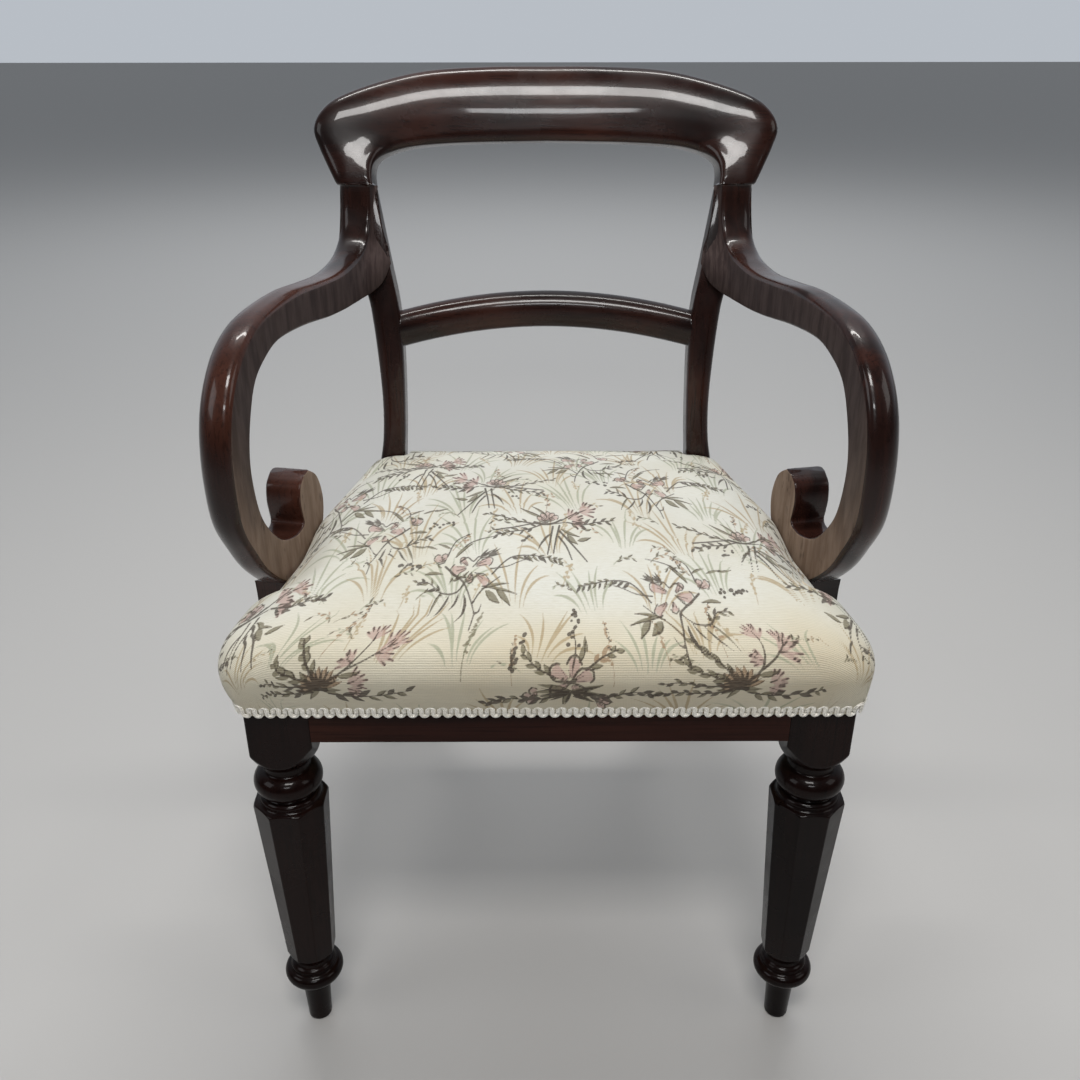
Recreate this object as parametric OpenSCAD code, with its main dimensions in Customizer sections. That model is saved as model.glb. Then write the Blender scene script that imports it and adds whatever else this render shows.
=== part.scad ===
// Open armchair with a yoke back, scrolled arms, turned and faceted front legs and an upholstered seat.
// Millimetres. +Z is up and the chair faces -Y. The origin is on the floor, under the middle of the
// whole chair. Inside the modules Y is counted from the centre plane of the front legs.

/* [Seat frame] */
// Distance between the centres of the front legs
front_leg_spacing = 472; // [440:1:500]
// Height of the top of the wooden rails
rail_top = 435; // [420:1:450]
// Height of the rails
rail_height = 70; // [60:1:75]
// Thickness of the rails
rail_thickness = 28; // [24:1:32]
// Distance from the front leg centres to the front face of the rear legs
seat_depth = 395; // [380:1:410]
// Width over the side rails where they meet the rear legs
rear_width = 400; // [390:1:410]

/* [Front legs] */
// Side of the square block at the top of each leg
block_side = 55; // [52:1:58]
// How far the block is set in from the turned part's axis
block_inset = 4; // [2:1:6]
// Width across the flats of the octagonal taper at its top
taper_top = 63.5; // [58:0.5:66]
// Width across the flats of the octagonal taper at its bottom
taper_foot = 44; // [38:1:50]
// Diameter of the turned ring above the foot
ring_diameter = 57; // [50:1:60]
// Diameter of the foot where it meets the floor
toe_diameter = 23; // [20:1:28]

/* [Back] */
// Height of the joint between the stiles and the crest rail
joint_height = 760; // [750:1:770]
// How far the crest rail leans back, in degrees
crest_rake = 12; // [8:1:14]
// How far the middle of the crest rail is bowed back
crest_bow = 35; // [25:1:40]
// Thickness of the crest rail in its middle
crest_middle = 28; // [26:1:34]
// Height of the crest rail's top above its joints, along its lean
crest_rise = 128; // [120:1:135]
// How far the middle of the lower rail is bowed back
mid_bow = 30; // [20:1:35]
// How far the middle of the lower rail is arched up
mid_arch = 15; // [10:1:20]
// Depth of the lower rail from front to back
mid_depth = 24; // [20:1:26]

/* [Arms] */
// Thickness of the board that each arm is cut from
arm_thickness = 36; // [35:1:40]
// Angle by which the arms spread towards the front, in degrees
arm_splay = 10.8; // [9:0.1:12]
// Distance of the inner face of an arm from the middle of the chair, near its front
arm_inner = 262; // [260:1:266]

/* [Upholstery] */
// Height of the middle of the domed seat
dome_top = 487; // [480:1:490]
// How much lower the back of the seat is than its middle
seat_fall = 24; // [10:1:26]
// How much lower the sides of the seat are beside the arm supports
side_fall = 16; // [8:1:18]
// Height of the lower edge of the seat cover
cover_hem = 395; // [390:1:400]
// Thickness of the tapestry cover
cover_thickness = 2; // [1.5:0.1:3]
// Width of the gimp braid
braid_width = 15; // [12:1:18]
// Thickness of the gimp braid
braid_thickness = 2.4; // [2:0.1:3]
// Width of each webbing strap
strap_width = 50; // [45:1:52]
// Thickness of the webbing
strap_thickness = 1.6; // [1.2:0.1:1.8]

/* [Hidden] */
$fn = 64;

mahogany = [0.20, 0.07, 0.045];
mahogany_rail = [0.32, 0.13, 0.07];
beech = [0.62, 0.44, 0.28];
jute = [0.66, 0.54, 0.36];
scrim = [0.75, 0.66, 0.50];
wadding = [0.93, 0.91, 0.85];
tapestry = [0.86, 0.81, 0.67];
gimp = [0.90, 0.86, 0.74];
steel = [0.55, 0.55, 0.55];

left = -1;
right = 1;
touch = 0.1;                                  // running gap left between glued or stacked pieces
far = 900;                                    // longer than any piece

// Ends of the whole chair, which set where Y = 0 is
seat_swell = 17.5;
front_end = -block_side / 2 - seat_swell;
heel_end = 570;
middle_y = (front_end + heel_end) / 2;

rail_bottom = rail_top - rail_height;
half_spacing = front_leg_spacing / 2;
block_centre = half_spacing - block_inset;
front_half = block_centre + block_side / 2 + 0.5;  // outer face of the side rails at Y = 0
rear_half = rear_width / 2;
rail_slope = (front_half - rear_half) / seat_depth;
rail_angle = atan(rail_slope);
tenon = [20, 10, rail_height - 24];           // length, thickness and height of the seat rail tenons

stile_inner = 163;                            // least distance of the stiles from the middle
rear_leg_front = seat_depth;
rear_rail_back = seat_depth + 40;
ear_front = 433;                              // Y of the crest rail's front face at its joints
ear_depth = 40;
crest_half = 226;                             // outer face of the stiles at the crest joint

arm_start_y = 60;                             // Y at which arm_inner is measured
support_front = 70;                           // the arm support's extent along the arm
support_back = 136;
support_foot = 372;

dome_points = 4;                              // points in each corner arc of the seat outline
edge_points = 9;                              // points along each side of the seat outline

// ---------------------------------------------------------------- curves

// One point of a Catmull-Rom curve between b and c
function blend_point(a, b, c, d, t) =
    0.5 * (2 * b + (c - a) * t + (2 * a - 5 * b + 4 * c - d) * t * t
    + (3 * b - a - 3 * c + d) * t * t * t);

// A smooth open curve through the points, with so many steps between each two
function smooth(points, steps = 4) = let (last = len(points) - 1) concat(
    [for (i = [0 : last - 1], s = [0 : steps - 1])
        blend_point(points[max(i - 1, 0)], points[i], points[i + 1], points[min(i + 2, last)],
            s / steps)],
    [points[last]]);

function reversed(points) = [for (i = [len(points) - 1 : -1 : 0]) points[i]];
function mirrored(points) = [for (p = points) [-p[0], p[1]]];
function towards(a, b, distance) = a + (b - a) * distance / norm(b - a);
function mix(a, b, t) = a + (b - a) * t;

// ---------------------------------------------------------------- placing

// Moves a piece from the leg frame to the chair's own frame
module placed() {
    translate([0, -middle_y, 0]) children();
}

// Draws its children for one side of the chair; they are modelled on the right
module on_side(side) {
    placed() mirror([side == left ? 1 : 0, 0, 0]) children();
}

// Extrudes an outline drawn in Y and Z from one X to another
module across(x_from, x_to) {
    translate([x_from, 0, 0]) rotate([90, 0, 90]) linear_extrude(x_to - x_from) children();
}

// Extrudes an outline drawn in X and Z from one Y to another
module backwards(y_from, y_to) {
    translate([0, y_to, 0]) rotate([90, 0, 0]) linear_extrude(y_to - y_from) children();
}

// The right arm's own frame: X is outwards from the inner face, Y is along the board
module arm_frame() {
    translate([arm_inner, arm_start_y, 0]) rotate([0, 0, arm_splay]) children();
}

// The right side rail's own frame: X is outwards from its outer face, Y is along the rail
module rail_frame() {
    translate([front_half, 0, 0]) rotate([0, 0, rail_angle]) children();
}

// The crest rail's own frame: its joints lie at Z = 0 and it leans back with Z
module crest_frame() {
    translate([0, ear_front, joint_height]) rotate([-crest_rake, 0, 0]) children();
}

// Everything above the crest joint
module above_crest_joint() {
    crest_frame() translate([-far / 2, -far / 2, 0]) cube([far, far, far]);
}

// ---------------------------------------------------------------- fasteners

// A countersunk wood screw whose head is at the origin, driven along +Z
module wood_screw(length, radius = 2.2, head = 4.2) {
    rotate_extrude()
        polygon([[0, 0], [head, 0], [radius, 3], [radius, length - 6], [0.4, length], [0, length]]);
}

module wood_screw_hole(length, radius = 2.2, head = 4.2) {
    cylinder(r1 = head + touch, r2 = radius + touch, h = 3);
    translate([0, 0, 2.9]) cylinder(r = radius + touch, h = length - 2.9);
}

// A tack whose head lies on the plane Z = 0 and whose point goes down
module tack(head = 3.2, length = 10) {
    rotate_extrude($fn = 24)
        polygon([[0, -length], [0.9, -length + 4], [0.9, 0], [head, 0], [head * 0.7, 0.7], [0, 0.9]]);
}

// ---------------------------------------------------------------- front legs

taper_low = 94;
taper_high = 283;

// The four-sided wedges that leave an octagon where they cross
module octagonal_taper() {
    low = taper_low - 16;
    high = taper_high + 12;
    spread = (taper_top - taper_foot) / (taper_high - taper_low);
    low_half = (taper_foot - spread * 16) / 2;
    high_half = (taper_top + spread * 12) / 2;
    intersection_for (turn = [0 : 45 : 135])
        rotate([0, 0, turn]) backwards(-60, 60)
            polygon([[-low_half, low], [low_half, low], [high_half, high], [-high_half, high]]);
}

// The turned envelope that rounds the ends of the octagon and cuts its arched shoulder
module taper_envelope() {
    rotate_extrude()
        polygon(concat([[0, 84]], smooth([[18, 84], [20, 90], [25, 97], [30, 106], [33, 118]], 3),
            [[40, 140], [40, 276]], smooth([[37.5, 278], [33.5, 284], [29, 286.5]], 3), [[0, 286.5]]));
}

// The turned foot, ring and neck below the octagon
module turned_foot() {
    ring = ring_diameter / 2;
    rotate_extrude()
        polygon(concat([[0, 0], [toe_diameter / 2 - 1, 0]],
            smooth([[toe_diameter / 2, 2], [12.5, 24], [14, 48], [16.5, 56]], 3),
            [[20, 58]], [for (a = [-70 : 20 : 70]) [ring - 7 + 7 * cos(a), 66 + 7.5 * sin(a)]],
            [[20.5, 74], [21.5, 75.5], [21.5, 77], [19, 78.5]],
            smooth([[17, 80], [17, 84], [18.5, 90]], 3), [[0, 90]]));
}

// The turned fillet, bulb and neck above the octagon
module turned_bulb() {
    bulb = 30.8;
    rotate_extrude()
        polygon(concat([[0, 284], [27, 284], [27.5, 286.5], [27, 293]],
            [for (a = [-75 : 15 : 75]) [bulb - 14 + 14 * cos(a), 307 + 14 * sin(a)]],
            smooth([[20.5, 321.5], [20, 326], [21.5, 331]], 3), [[25.5, 333], [26, 338], [0, 338]]));
}

// The square block, with its lower corners turned away into the neck
module leg_block() {
    intersection() {
        translate([-block_inset - block_side / 2, -block_side / 2, 337])
            cube([block_side, block_side, rail_top - 337]);
        rotate_extrude()
            polygon(concat([[0, 337]], smooth([[26, 337], [30, 340], [36, 348], [43, 359]], 3),
                [[43, rail_top + 1], [0, rail_top + 1]]));
    }
}

module front_leg(side) {
    color(mahogany) on_side(side) difference() {
        translate([half_spacing, 0, 0]) union() {
            turned_foot();
            intersection() {
                octagonal_taper();
                taper_envelope();
            }
            turned_bulb();
            leg_block();
        }
        front_tenon(touch);
        side_front_tenon(touch);
    }
}

// ---------------------------------------------------------------- rear legs and stiles

// Front view of the right rear leg and stile
stile_outer_edge = smooth([[197, 0], [198, 150], [200, 300], [200, 400], [198, 440], [192, 478],
    [190, 530], [194, 600], [201, 655], [212, 705], [crest_half, joint_height + 4]]);
stile_inner_edge = smooth([[165, 0], [167, 150], [168, 300], [168, 400], [168, 445], [165, 490],
    [stile_inner, 550], [stile_inner, 595], [166, 635], [173, 675], [190, joint_height + 4]]);

// Side view of the rear leg and stile: the front line and the back line
stile_front_line = smooth([[532, 0], [500, 70], [452, 180], [413, 280], [396, 360],
    [rear_leg_front, 420], [399, 480], [405, 580], [413, 650], [426, 705],
    [ear_front + 12, joint_height + 4]]);
stile_back_line = smooth([[heel_end, 0], [541, 80], [500, 180], [461, 280], [443, 360],
    [440, 420], [437, 480], [440, 580], [446, 650], [457, 705],
    [ear_front + ear_depth + 1, joint_height + 4]]);

module stile_front_view() {
    polygon(concat(stile_outer_edge, reversed(stile_inner_edge)));
}

module rear_leg_blank() {
    difference() {
        intersection() {
            backwards(300, 640) stile_front_view();
            across(120, 260) polygon(concat(stile_front_line, reversed(stile_back_line)));
        }
        above_crest_joint();
    }
}

module rear_leg(side) {
    color(mahogany) on_side(side) difference() {
        rear_leg_blank();
        side_rear_tenon(touch);
        rear_tenon(touch);
        mid_tenon(touch);
        crest_dowel_pair(4 + touch);
        arm_screw_place() {
            wood_screw_hole(arm_screw_length);
            translate([0, 0, -arm_plug_length * 2]) cylinder(r = 5 + touch, h = arm_plug_length * 2);
        }
    }
}

// ---------------------------------------------------------------- seat rails

module front_tenon(gap) {
    x = block_centre - block_side / 2;
    translate([x - 1, -block_side / 2 + 9 - gap, rail_bottom + 12 - gap])
        cube([tenon[0] + 1 + gap, tenon[1] + 2 * gap, tenon[2] + 2 * gap]);
}

module front_seat_rail() {
    x = block_centre - block_side / 2;
    color(mahogany_rail) placed() union() {
        translate([-x, -block_side / 2, rail_bottom]) cube([2 * x, rail_thickness - 2, rail_height]);
        front_tenon(0);
        mirror([1, 0, 0]) front_tenon(0);
    }
}

module side_tenon_at(start, gap) {
    rail_frame() translate([-rail_thickness / 2 - tenon[1] / 2 - gap, start - gap, rail_bottom + 12 - gap])
        cube([tenon[1] + 2 * gap, tenon[0] + 6 + 2 * gap, tenon[2] + 2 * gap]);
}

module side_front_tenon(gap) {
    side_tenon_at(block_side / 2 - tenon[0] + 4, gap);
}

module side_rear_tenon(gap) {
    side_tenon_at(rear_leg_front / cos(rail_angle) - 8, gap);
}

module side_rail_board() {
    rail_frame() translate([-rail_thickness, 0, rail_bottom])
        cube([rail_thickness, seat_depth * 1.1, rail_height]);
}

module side_seat_rail(side) {
    color(mahogany_rail) on_side(side) difference() {
        union() {
            intersection() {
                side_rail_board();
                translate([0, block_side / 2, 0]) cube([far, rear_leg_front - 1.5 - block_side / 2, far]);
            }
            side_front_tenon(0);
            side_rear_tenon(0);
        }
        support_screw_places() wood_screw_hole(support_screw_length);
    }
}

module rear_tenon(gap) {
    translate([158, seat_depth + 17 - gap, rail_bottom + 12 - gap])
        cube([26 + gap, tenon[1] + 2 * gap, tenon[2] + 2 * gap]);
}

module rear_seat_rail() {
    half = 168;
    color(beech) placed() union() {
        translate([-half, rear_rail_back - rail_thickness, rail_bottom])
            cube([2 * half, rail_thickness, rail_height]);
        rear_tenon(0);
        mirror([1, 0, 0]) rear_tenon(0);
    }
}

// ---------------------------------------------------------------- crest rail and lower rail

// Half of the crest rail's outline in its own frame, from the middle of the top to the joint
crest_upper = smooth([[0, crest_rise], [60, crest_rise - 0.6], [127, crest_rise - 6], [180, 109],
    [223, 92], [243, 76], [251, 58], [246, 39], [236, 17], [crest_half - 1, -4]], 4);
crest_lower = smooth([[190, -4], [191, 12], [186, 25], [170, 35], [140, 42.5], [83, 47], [0, 49]], 4);

// A bow in plan: 0 at the joints and most in the middle
function bow(x, most, half) = most * (1 - x * x / (half * half));
bow_stations = [-256 : 16 : 256];

module crest_blank() {
    half_outline = concat(crest_upper, crest_lower);
    crest_frame() intersection() {
        backwards(-60, 160) polygon(concat(half_outline, reversed(mirrored(half_outline))));
        translate([0, 0, -20]) linear_extrude(200) polygon(concat(
            [for (x = bow_stations) [x, bow(x, crest_bow, crest_half)]],
            reversed([for (x = bow_stations)
                [x, ear_depth + bow(x, crest_bow + crest_middle - ear_depth, crest_half)]])));
        translate([-far / 2, -far / 2, 0]) cube([far, far, far]);
    }
}

module crest_dowel_pair(radius) {
    crest_frame() for (x = [201, 215])
        translate([x, 25, -22 - (radius > 4 ? 1 : 0)]) cylinder(r = radius, h = 44 + (radius > 4 ? 2 : 0));
}

module crest_rail() {
    color(mahogany) placed() difference() {
        crest_blank();
        crest_dowel_pair(4 + touch);
        mirror([1, 0, 0]) crest_dowel_pair(4 + touch);
    }
}

module crest_dowels(side) {
    color(beech) on_side(side) crest_dowel_pair(4);
}

mid_end_x = 176;
mid_front_y = 411;
mid_low = 585;
mid_tall = 39;

// One slat-shaped blank, bowed in plan and arched in front view
module mid_blank(gap = 0, inset_y = 0, inset_z = 0) {
    stations = [for (i = [-12 : 12]) i * mid_end_x / 12];
    half = stile_inner;
    intersection() {
        backwards(300, 600) polygon(concat(
            [for (x = stations) [x, mid_low + inset_z - gap + bow(x, mid_arch, half)]],
            reversed([for (x = stations) [x, mid_low + mid_tall - inset_z + gap + bow(x, mid_arch, half)]])));
        linear_extrude(800) polygon(concat(
            [for (x = stations) [x, mid_front_y + inset_y - gap + bow(x, mid_bow, half)]],
            reversed([for (x = stations)
                [x, mid_front_y + mid_depth - inset_y + gap + bow(x, mid_bow, half)]])));
    }
}

// The thinner end of the lower rail that enters the right stile
module mid_tenon(gap) {
    intersection() {
        mid_blank(gap, 6, 8);
        translate([stile_inner - 4, 0, 0]) cube([mid_end_x - stile_inner + 4 + gap, far, far]);
    }
}

module mid_rail() {
    color(mahogany) placed() union() {
        difference() {
            mid_blank();
            for (side = [left, right]) mirror([side == left ? 1 : 0, 0, 0])
                backwards(300, 600) polygon(concat(stile_inner_edge, [[far, 764], [far, 0]]));
        }
        mid_tenon(0);
        mirror([1, 0, 0]) mid_tenon(0);
    }
}

// ---------------------------------------------------------------- arms

// Side view of an arm, along the board and up. Each outer point faces the inner point of the same
// place along the limb, so that the edges can be eased by moving them towards each other.
arm_outer = smooth([[377, 766], [374, 735], [363, 710], [342, 696], [314, 689.5], [270, 686.5],
    [214, 690], [160, 694.5], [107, 693], [67, 687], [34.6, 671], [10, 646], [-5, 614], [-11, 574],
    [-8, 530], [9, 495], [35, 462], [70, 434], [105, 428], [140, 433], [163, 452], [171.5, 480],
    [162, 508], [142, 523]], 3);
arm_inner_edge = smooth([[400, 766], [397, 735], [390, 705], [372, 678], [348, 653], [300, 648],
    [240, 651], [170, 659], [112, 661], [78, 652.5], [53, 637.5], [36, 609], [27, 580], [27, 553],
    [34, 523], [50, 499.5], [70, 482], [95, 473], [112, 472.5], [119.5, 476], [117.5, 486],
    [115.5, 499], [119, 514], [130, 521.5]], 3);

// The share of the full rounding at a place along the arm: less at its root and at the scroll
function ease_share(t) = t < 0.2 ? mix(0.4, 1, t / 0.2) : t < 0.72 ? 1 : max(0.35, 1 - (t - 0.72) * 5);

function eased(from, to, ease) = let (last = len(from) - 1)
    [for (i = [0 : last]) towards(from[i], to[i], ease * ease_share(i / last))];

module arm_profile(ease) {
    polygon(concat(eased(arm_outer, arm_inner_edge, ease),
        reversed(eased(arm_inner_edge, arm_outer, ease * 0.4))));
}

// A layer of the arm board between two distances from its inner face
module arm_layer(from, to, ease) {
    across(from, to) arm_profile(ease);
}

// The arm's section: each step's start from the inner face, and how much its edge is rounded off
arm_rounding = [[0, 1.5], [4, 0], [13, 2], [20, 5], [26, 9], [31, 13.5], [34.5, 19]];

function arm_step_end(i) = i < len(arm_rounding) - 1 ? arm_rounding[i + 1][0] : arm_thickness;

module arm_blank() {
    arm_frame() {
        for (i = [0 : len(arm_rounding) - 1])
            arm_layer(arm_rounding[i][0], arm_step_end(i), arm_rounding[i][1]);
    }
    // The upper end is wide enough to cover the whole front of the stile
    intersection() {
        arm_frame() difference() {
            arm_layer(-25, 0, 0);
            translate([-40, 0, 0]) cube([80, 318, far]);
        }
        backwards(300, 600) stile_front_view();
    }
}

// Everything behind the front face of the stiles
module behind_stile_front() {
    across(100, 300) polygon(concat(stile_front_line, [[700, joint_height + 4], [700, 0]]));
}

module arm(side) {
    color(mahogany) on_side(side) difference() {
        arm_blank();
        behind_stile_front();
        above_crest_joint();
        arm_screw_place() wood_screw_hole(arm_screw_length);
    }
}

arm_screw_length = 46;
arm_plug_length = 6;

// The screw goes forwards through the stile into the thick root of the arm
module arm_screw_place() {
    translate([190, 443, 668]) rotate([90, 0, 0]) children();
}

module arm_screw(side) {
    color(steel) on_side(side) arm_screw_place() wood_screw(arm_screw_length);
}

module arm_screw_plug(side) {
    color(mahogany) on_side(side) intersection() {
        arm_screw_place() translate([0, 0, -arm_plug_length * 2 - touch])
            cylinder(r = 5, h = arm_plug_length * 2);
        rear_leg_blank();
    }
}

// The board below the scroll, lapped on the outside of the side rail
module arm_support(side) {
    ramp = 20;
    color(mahogany) on_side(side) difference() {
        arm_frame() across(-14, arm_thickness - 1) polygon(concat(
            smooth([[support_front + ramp, support_foot], [support_front + 6, support_foot + 12],
                [support_front + 1, 404], [support_front, 425], [support_front - 3, 446]], 3),
            smooth([[support_back + 3, 446], [support_back, 425], [support_back - 1, 404],
                [support_back - 6, support_foot + 12], [support_back - ramp, support_foot]], 3)));
        rail_frame() translate([-far + touch, -far / 2, 0]) cube([far, far, far]);
        arm_frame() across(-20, 60) arm_profile(-touch);
        support_screw_places() wood_screw_hole(support_screw_length);
    }
}

support_screw_length = 52;

// Two screws, from the inside of the side rail into the arm support
module support_screw_places() {
    rail_frame() for (y = [148, 178])
        translate([-rail_thickness - touch, y, 398 + (y - 148) / 3]) rotate([0, 90, 0]) children();
}

module arm_support_screws(side) {
    color(steel) on_side(side) support_screw_places() wood_screw(support_screw_length);
}

// ---------------------------------------------------------------- corner blocks

block_low = rail_bottom + 8;
block_tall = 42;
front_rail_inside = -block_side / 2 + rail_thickness - 2;
rear_rail_inside = rear_rail_back - rail_thickness;

function side_inside(y) = front_half - rail_slope * y - rail_thickness / cos(rail_angle);

module corner_block_front(side) {
    leg_in = block_centre - block_side / 2;
    leg_back = block_side / 2;
    color(beech) on_side(side) difference() {
        translate([0, 0, block_low]) linear_extrude(block_tall) polygon([
            [leg_in - 52, front_rail_inside + touch], [leg_in - touch, front_rail_inside + touch],
            [leg_in - touch, leg_back + touch], [side_inside(leg_back) - touch, leg_back + touch],
            [side_inside(84) - touch, 84], [side_inside(84) - 14, 84], [leg_in - 52, 14]]);
        front_block_screw_places() wood_screw_hole(block_screw_length);
    }
}

module corner_block_rear(side) {
    leg_in = 168;
    color(beech) on_side(side) difference() {
        translate([0, 0, block_low]) linear_extrude(block_tall) polygon([
            [leg_in - 50, rear_rail_inside - touch], [leg_in - 50, rear_rail_inside - 12],
            [side_inside(336) - 14, 336], [side_inside(336) - touch, 336],
            [side_inside(394) - touch, 394], [leg_in - touch, 394],
            [leg_in - touch, rear_rail_inside - touch]]);
        rear_block_screw_places() wood_screw_hole(block_screw_length);
    }
}

block_screw_length = 36;

// Each block has one screw into the front or rear rail and one into the side rail
module front_block_screw_places() {
    z = block_low + block_tall / 2;
    translate([170, front_rail_inside + 20, z + 6]) rotate([90, 0, 0]) children();
    translate([side_inside(66) - 18, 66, z - 6]) rotate([0, 90, 0]) children();
}

module rear_block_screw_places() {
    z = block_low + block_tall / 2;
    translate([136, rear_rail_inside - 20, z + 6]) rotate([-90, 0, 0]) children();
    translate([side_inside(352) - 18, 352, z - 6]) rotate([0, 90, 0]) children();
}

module corner_block_screws() {
    color(steel) for (side = [left, right]) on_side(side) {
        front_block_screw_places() wood_screw(block_screw_length);
        rear_block_screw_places() wood_screw(block_screw_length);
    }
}

// ---------------------------------------------------------------- webbing

long_x = [-120, -40, 40, 120];
cross_y = [62, 150, 238, 326];
strap_over = strap_thickness + 0.3;
strap_reach = strap_width / 2 + 3;

// The height of one strap at each of its bends: it lies on the rails and weaves over and under
function strap_path(first, crossings, last, starts_over) = concat([[first, 0]],
    [for (i = [0 : len(crossings) - 1], s = [-1, 1])
        [crossings[i] + s * strap_reach, (i + (starts_over ? 0 : 1)) % 2 == 0 ? strap_over : 0]],
    [[last, 0]]);

module strap_outline(path) {
    lift = [0, strap_thickness];
    polygon(concat(path, reversed([for (p = path) p + lift])));
}

module webbing_long(i) {
    path = strap_path(front_rail_inside - 22, cross_y, rear_rail_back - 5, i % 2 == 0);
    color(jute) placed() translate([0, 0, rail_top])
        across(long_x[i] - strap_width / 2, long_x[i] + strap_width / 2) strap_outline(path);
}

module webbing_cross(i) {
    end = front_half - rail_slope * (cross_y[i] + strap_width / 2) - 5;
    path = strap_path(-end, long_x, end, i % 2 == 1);
    color(jute) placed() translate([0, 0, rail_top])
        backwards(cross_y[i] - strap_width / 2, cross_y[i] + strap_width / 2) strap_outline(path);
}

module webbing_tacks() {
    color(steel) placed() translate([0, 0, rail_top + strap_thickness]) {
        for (x = long_x, y = [front_rail_inside - 14, rear_rail_back - 14], dx = [-16, 0, 16])
            translate([x + dx, y, 0]) tack();
        for (y = cross_y, side = [left, right], dy = [-16, 0, 16])
            translate([side * (front_half - rail_slope * y - 16), y + dy, 0]) tack();
    }
}

// ---------------------------------------------------------------- upholstery

// Plan of the seat, grown outwards at the sides and at the front, with rounded corners
function seat_plan(side_grow, front_grow, radius) = let (
    front_y = -block_side / 2 - front_grow,
    back_y = rear_rail_back + side_grow,
    front_x = front_half + side_grow,
    back_x = rear_half + side_grow * 0.45,
    corners = [[back_x, back_y], [-back_x, back_y], [-front_x, front_y], [front_x, front_y]],
    inward = [[-1, -1], [1, -1], [1, 1], [-1, 1]]
) [for (c = [0 : 3]) each concat(
    [for (s = [0 : dome_points]) let (a = 90 * c + 90 * s / dome_points)
        corners[c] + radius * inward[c] + radius * [cos(a), sin(a)]],
    [for (s = [1 : edge_points]) let (
        a = 90 * (c + 1), n = (c + 1) % 4,
        from = corners[c] + radius * inward[c] + radius * [cos(a), sin(a)],
        to = corners[n] + radius * inward[n] + radius * [cos(a), sin(a)])
        mix(from, to, s / (edge_points + 1))])];

hessian_top = 440;
second_layer = 458;                           // height at which the second stuffing starts

// Levels of the seat's outer surface: side growth, front growth, height and corner radius
cover_levels = [[2.4, 3, 395, 12], [6, 6.5, 405, 16], [10, 11, 417, 22], [12.5, 14.8, 430, 28],
    [13.3, seat_swell, 441, 34], [10, 14, 451, 38], [2, 7, 460, 40], [-11, -8, 467.5, 44],
    [-29, -28, 473.5, 48], [-56, -56, 478.5, 50], [-92, -92, 482.5, 50], [-135, -135, 485.3, 40]];

function shrunk(levels, by) = [for (l = levels) [l[0] - by, l[1] - by, l[2], l[3]]];
function lowered(levels, by) = [for (l = levels) [l[0], l[1], l[2] - by * (l[2] - cover_hem) / 92, l[3]]];

// The pad is worn lower towards the back of the seat
function back_fall(y, z) =
    seat_fall * pow(max(0, y - 150) / 290, 1.6) * pow(max(0, z - rail_top) / (dome_top - rail_top), 0.8);

// A smooth step from 0 to 1 between two values
function smooth_step(v, low, high) = let (t = min(1, max(0, (v - low) / (high - low)))) t * t * (3 - 2 * t);

// The sides are pulled down where the arm supports pass through the upholstery
function side_pull(y, z) = side_fall * smooth_step(y, 38, 84) * smooth_step(-y, -218, -150)
    * smooth_step(z, 415, 445) * smooth_step(-z, -486, -460);

// A closed solid through one plan per level, with a domed top
module seat_form(levels, top) {
    rings = [for (l = levels) seat_plan(l[0], l[1], l[3])];
    count = len(rings[0]);
    last = len(rings) - 1;
    apex = [0, rear_rail_back / 2 - 15];
    points = concat(
        [for (r = [0 : last], p = rings[r]) let (z = levels[r][2])
            [p[0], p[1], z - back_fall(p[1], z) - side_pull(p[1], z)]],
        [[apex[0], apex[1], levels[0][2]], [apex[0], apex[1], top]]);
    low = count * (last + 1);
    polyhedron(points, concat(
        [for (r = [0 : last - 1], i = [0 : count - 1]) let (j = (i + 1) % count)
            [r * count + i, (r + 1) * count + i, (r + 1) * count + j, r * count + j]],
        [for (i = [0 : count - 1]) [low, i, (i + 1) % count]],
        [for (i = [0 : count - 1]) [low + 1, last * count + (i + 1) % count, last * count + i]]));
}

// The space that the stiles and arm supports need through the upholstery
module post_space() {
    for (side = [left, right]) mirror([side == left ? 1 : 0, 0, 0]) {
        translate([162.5, rear_leg_front - 1.5, 300]) cube([120, 120, 300]);
        difference() {
            arm_frame() translate([-20, support_front - 4, 300])
                cube([90, support_back - support_front + 8, 300]);
            rail_frame() translate([-far, -far / 2, 0]) cube([far, far, far]);
        }
    }
}

// The wooden frame's outline, filled in
module frame_space(grow, top) {
    y_front = -block_side / 2 - grow;
    translate([0, 0, 300]) linear_extrude(top - 300) polygon([
        [front_half + grow - rail_slope * y_front, y_front],
        [rear_half + grow - rail_slope * 50, rear_rail_back + grow],
        [-rear_half - grow + rail_slope * 50, rear_rail_back + grow],
        [-front_half - grow + rail_slope * y_front, y_front]]);
}

module hessian() {
    color(jute) placed() difference() {
        translate([0, 0, hessian_top - 1]) linear_extrude(1) polygon(seat_plan(-8, -5, 10));
        post_space();
    }
}

// The space inside the cover, between two heights
module stuffing(low, high) {
    difference() {
        intersection() {
            seat_form(lowered(shrunk(cover_levels, cover_thickness + touch), cover_thickness + touch),
                dome_top - cover_thickness - touch);
            translate([-far / 2, -far / 2, low]) cube([far, far, high - low]);
        }
        post_space();
    }
}

// Stitched fibre on the hessian, and the softer layer that makes the dome
module first_stuffing() {
    color(scrim) placed() stuffing(hessian_top + touch, second_layer);
}

module second_stuffing() {
    color(wadding) placed() stuffing(second_layer + touch, dome_top);
}

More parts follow.
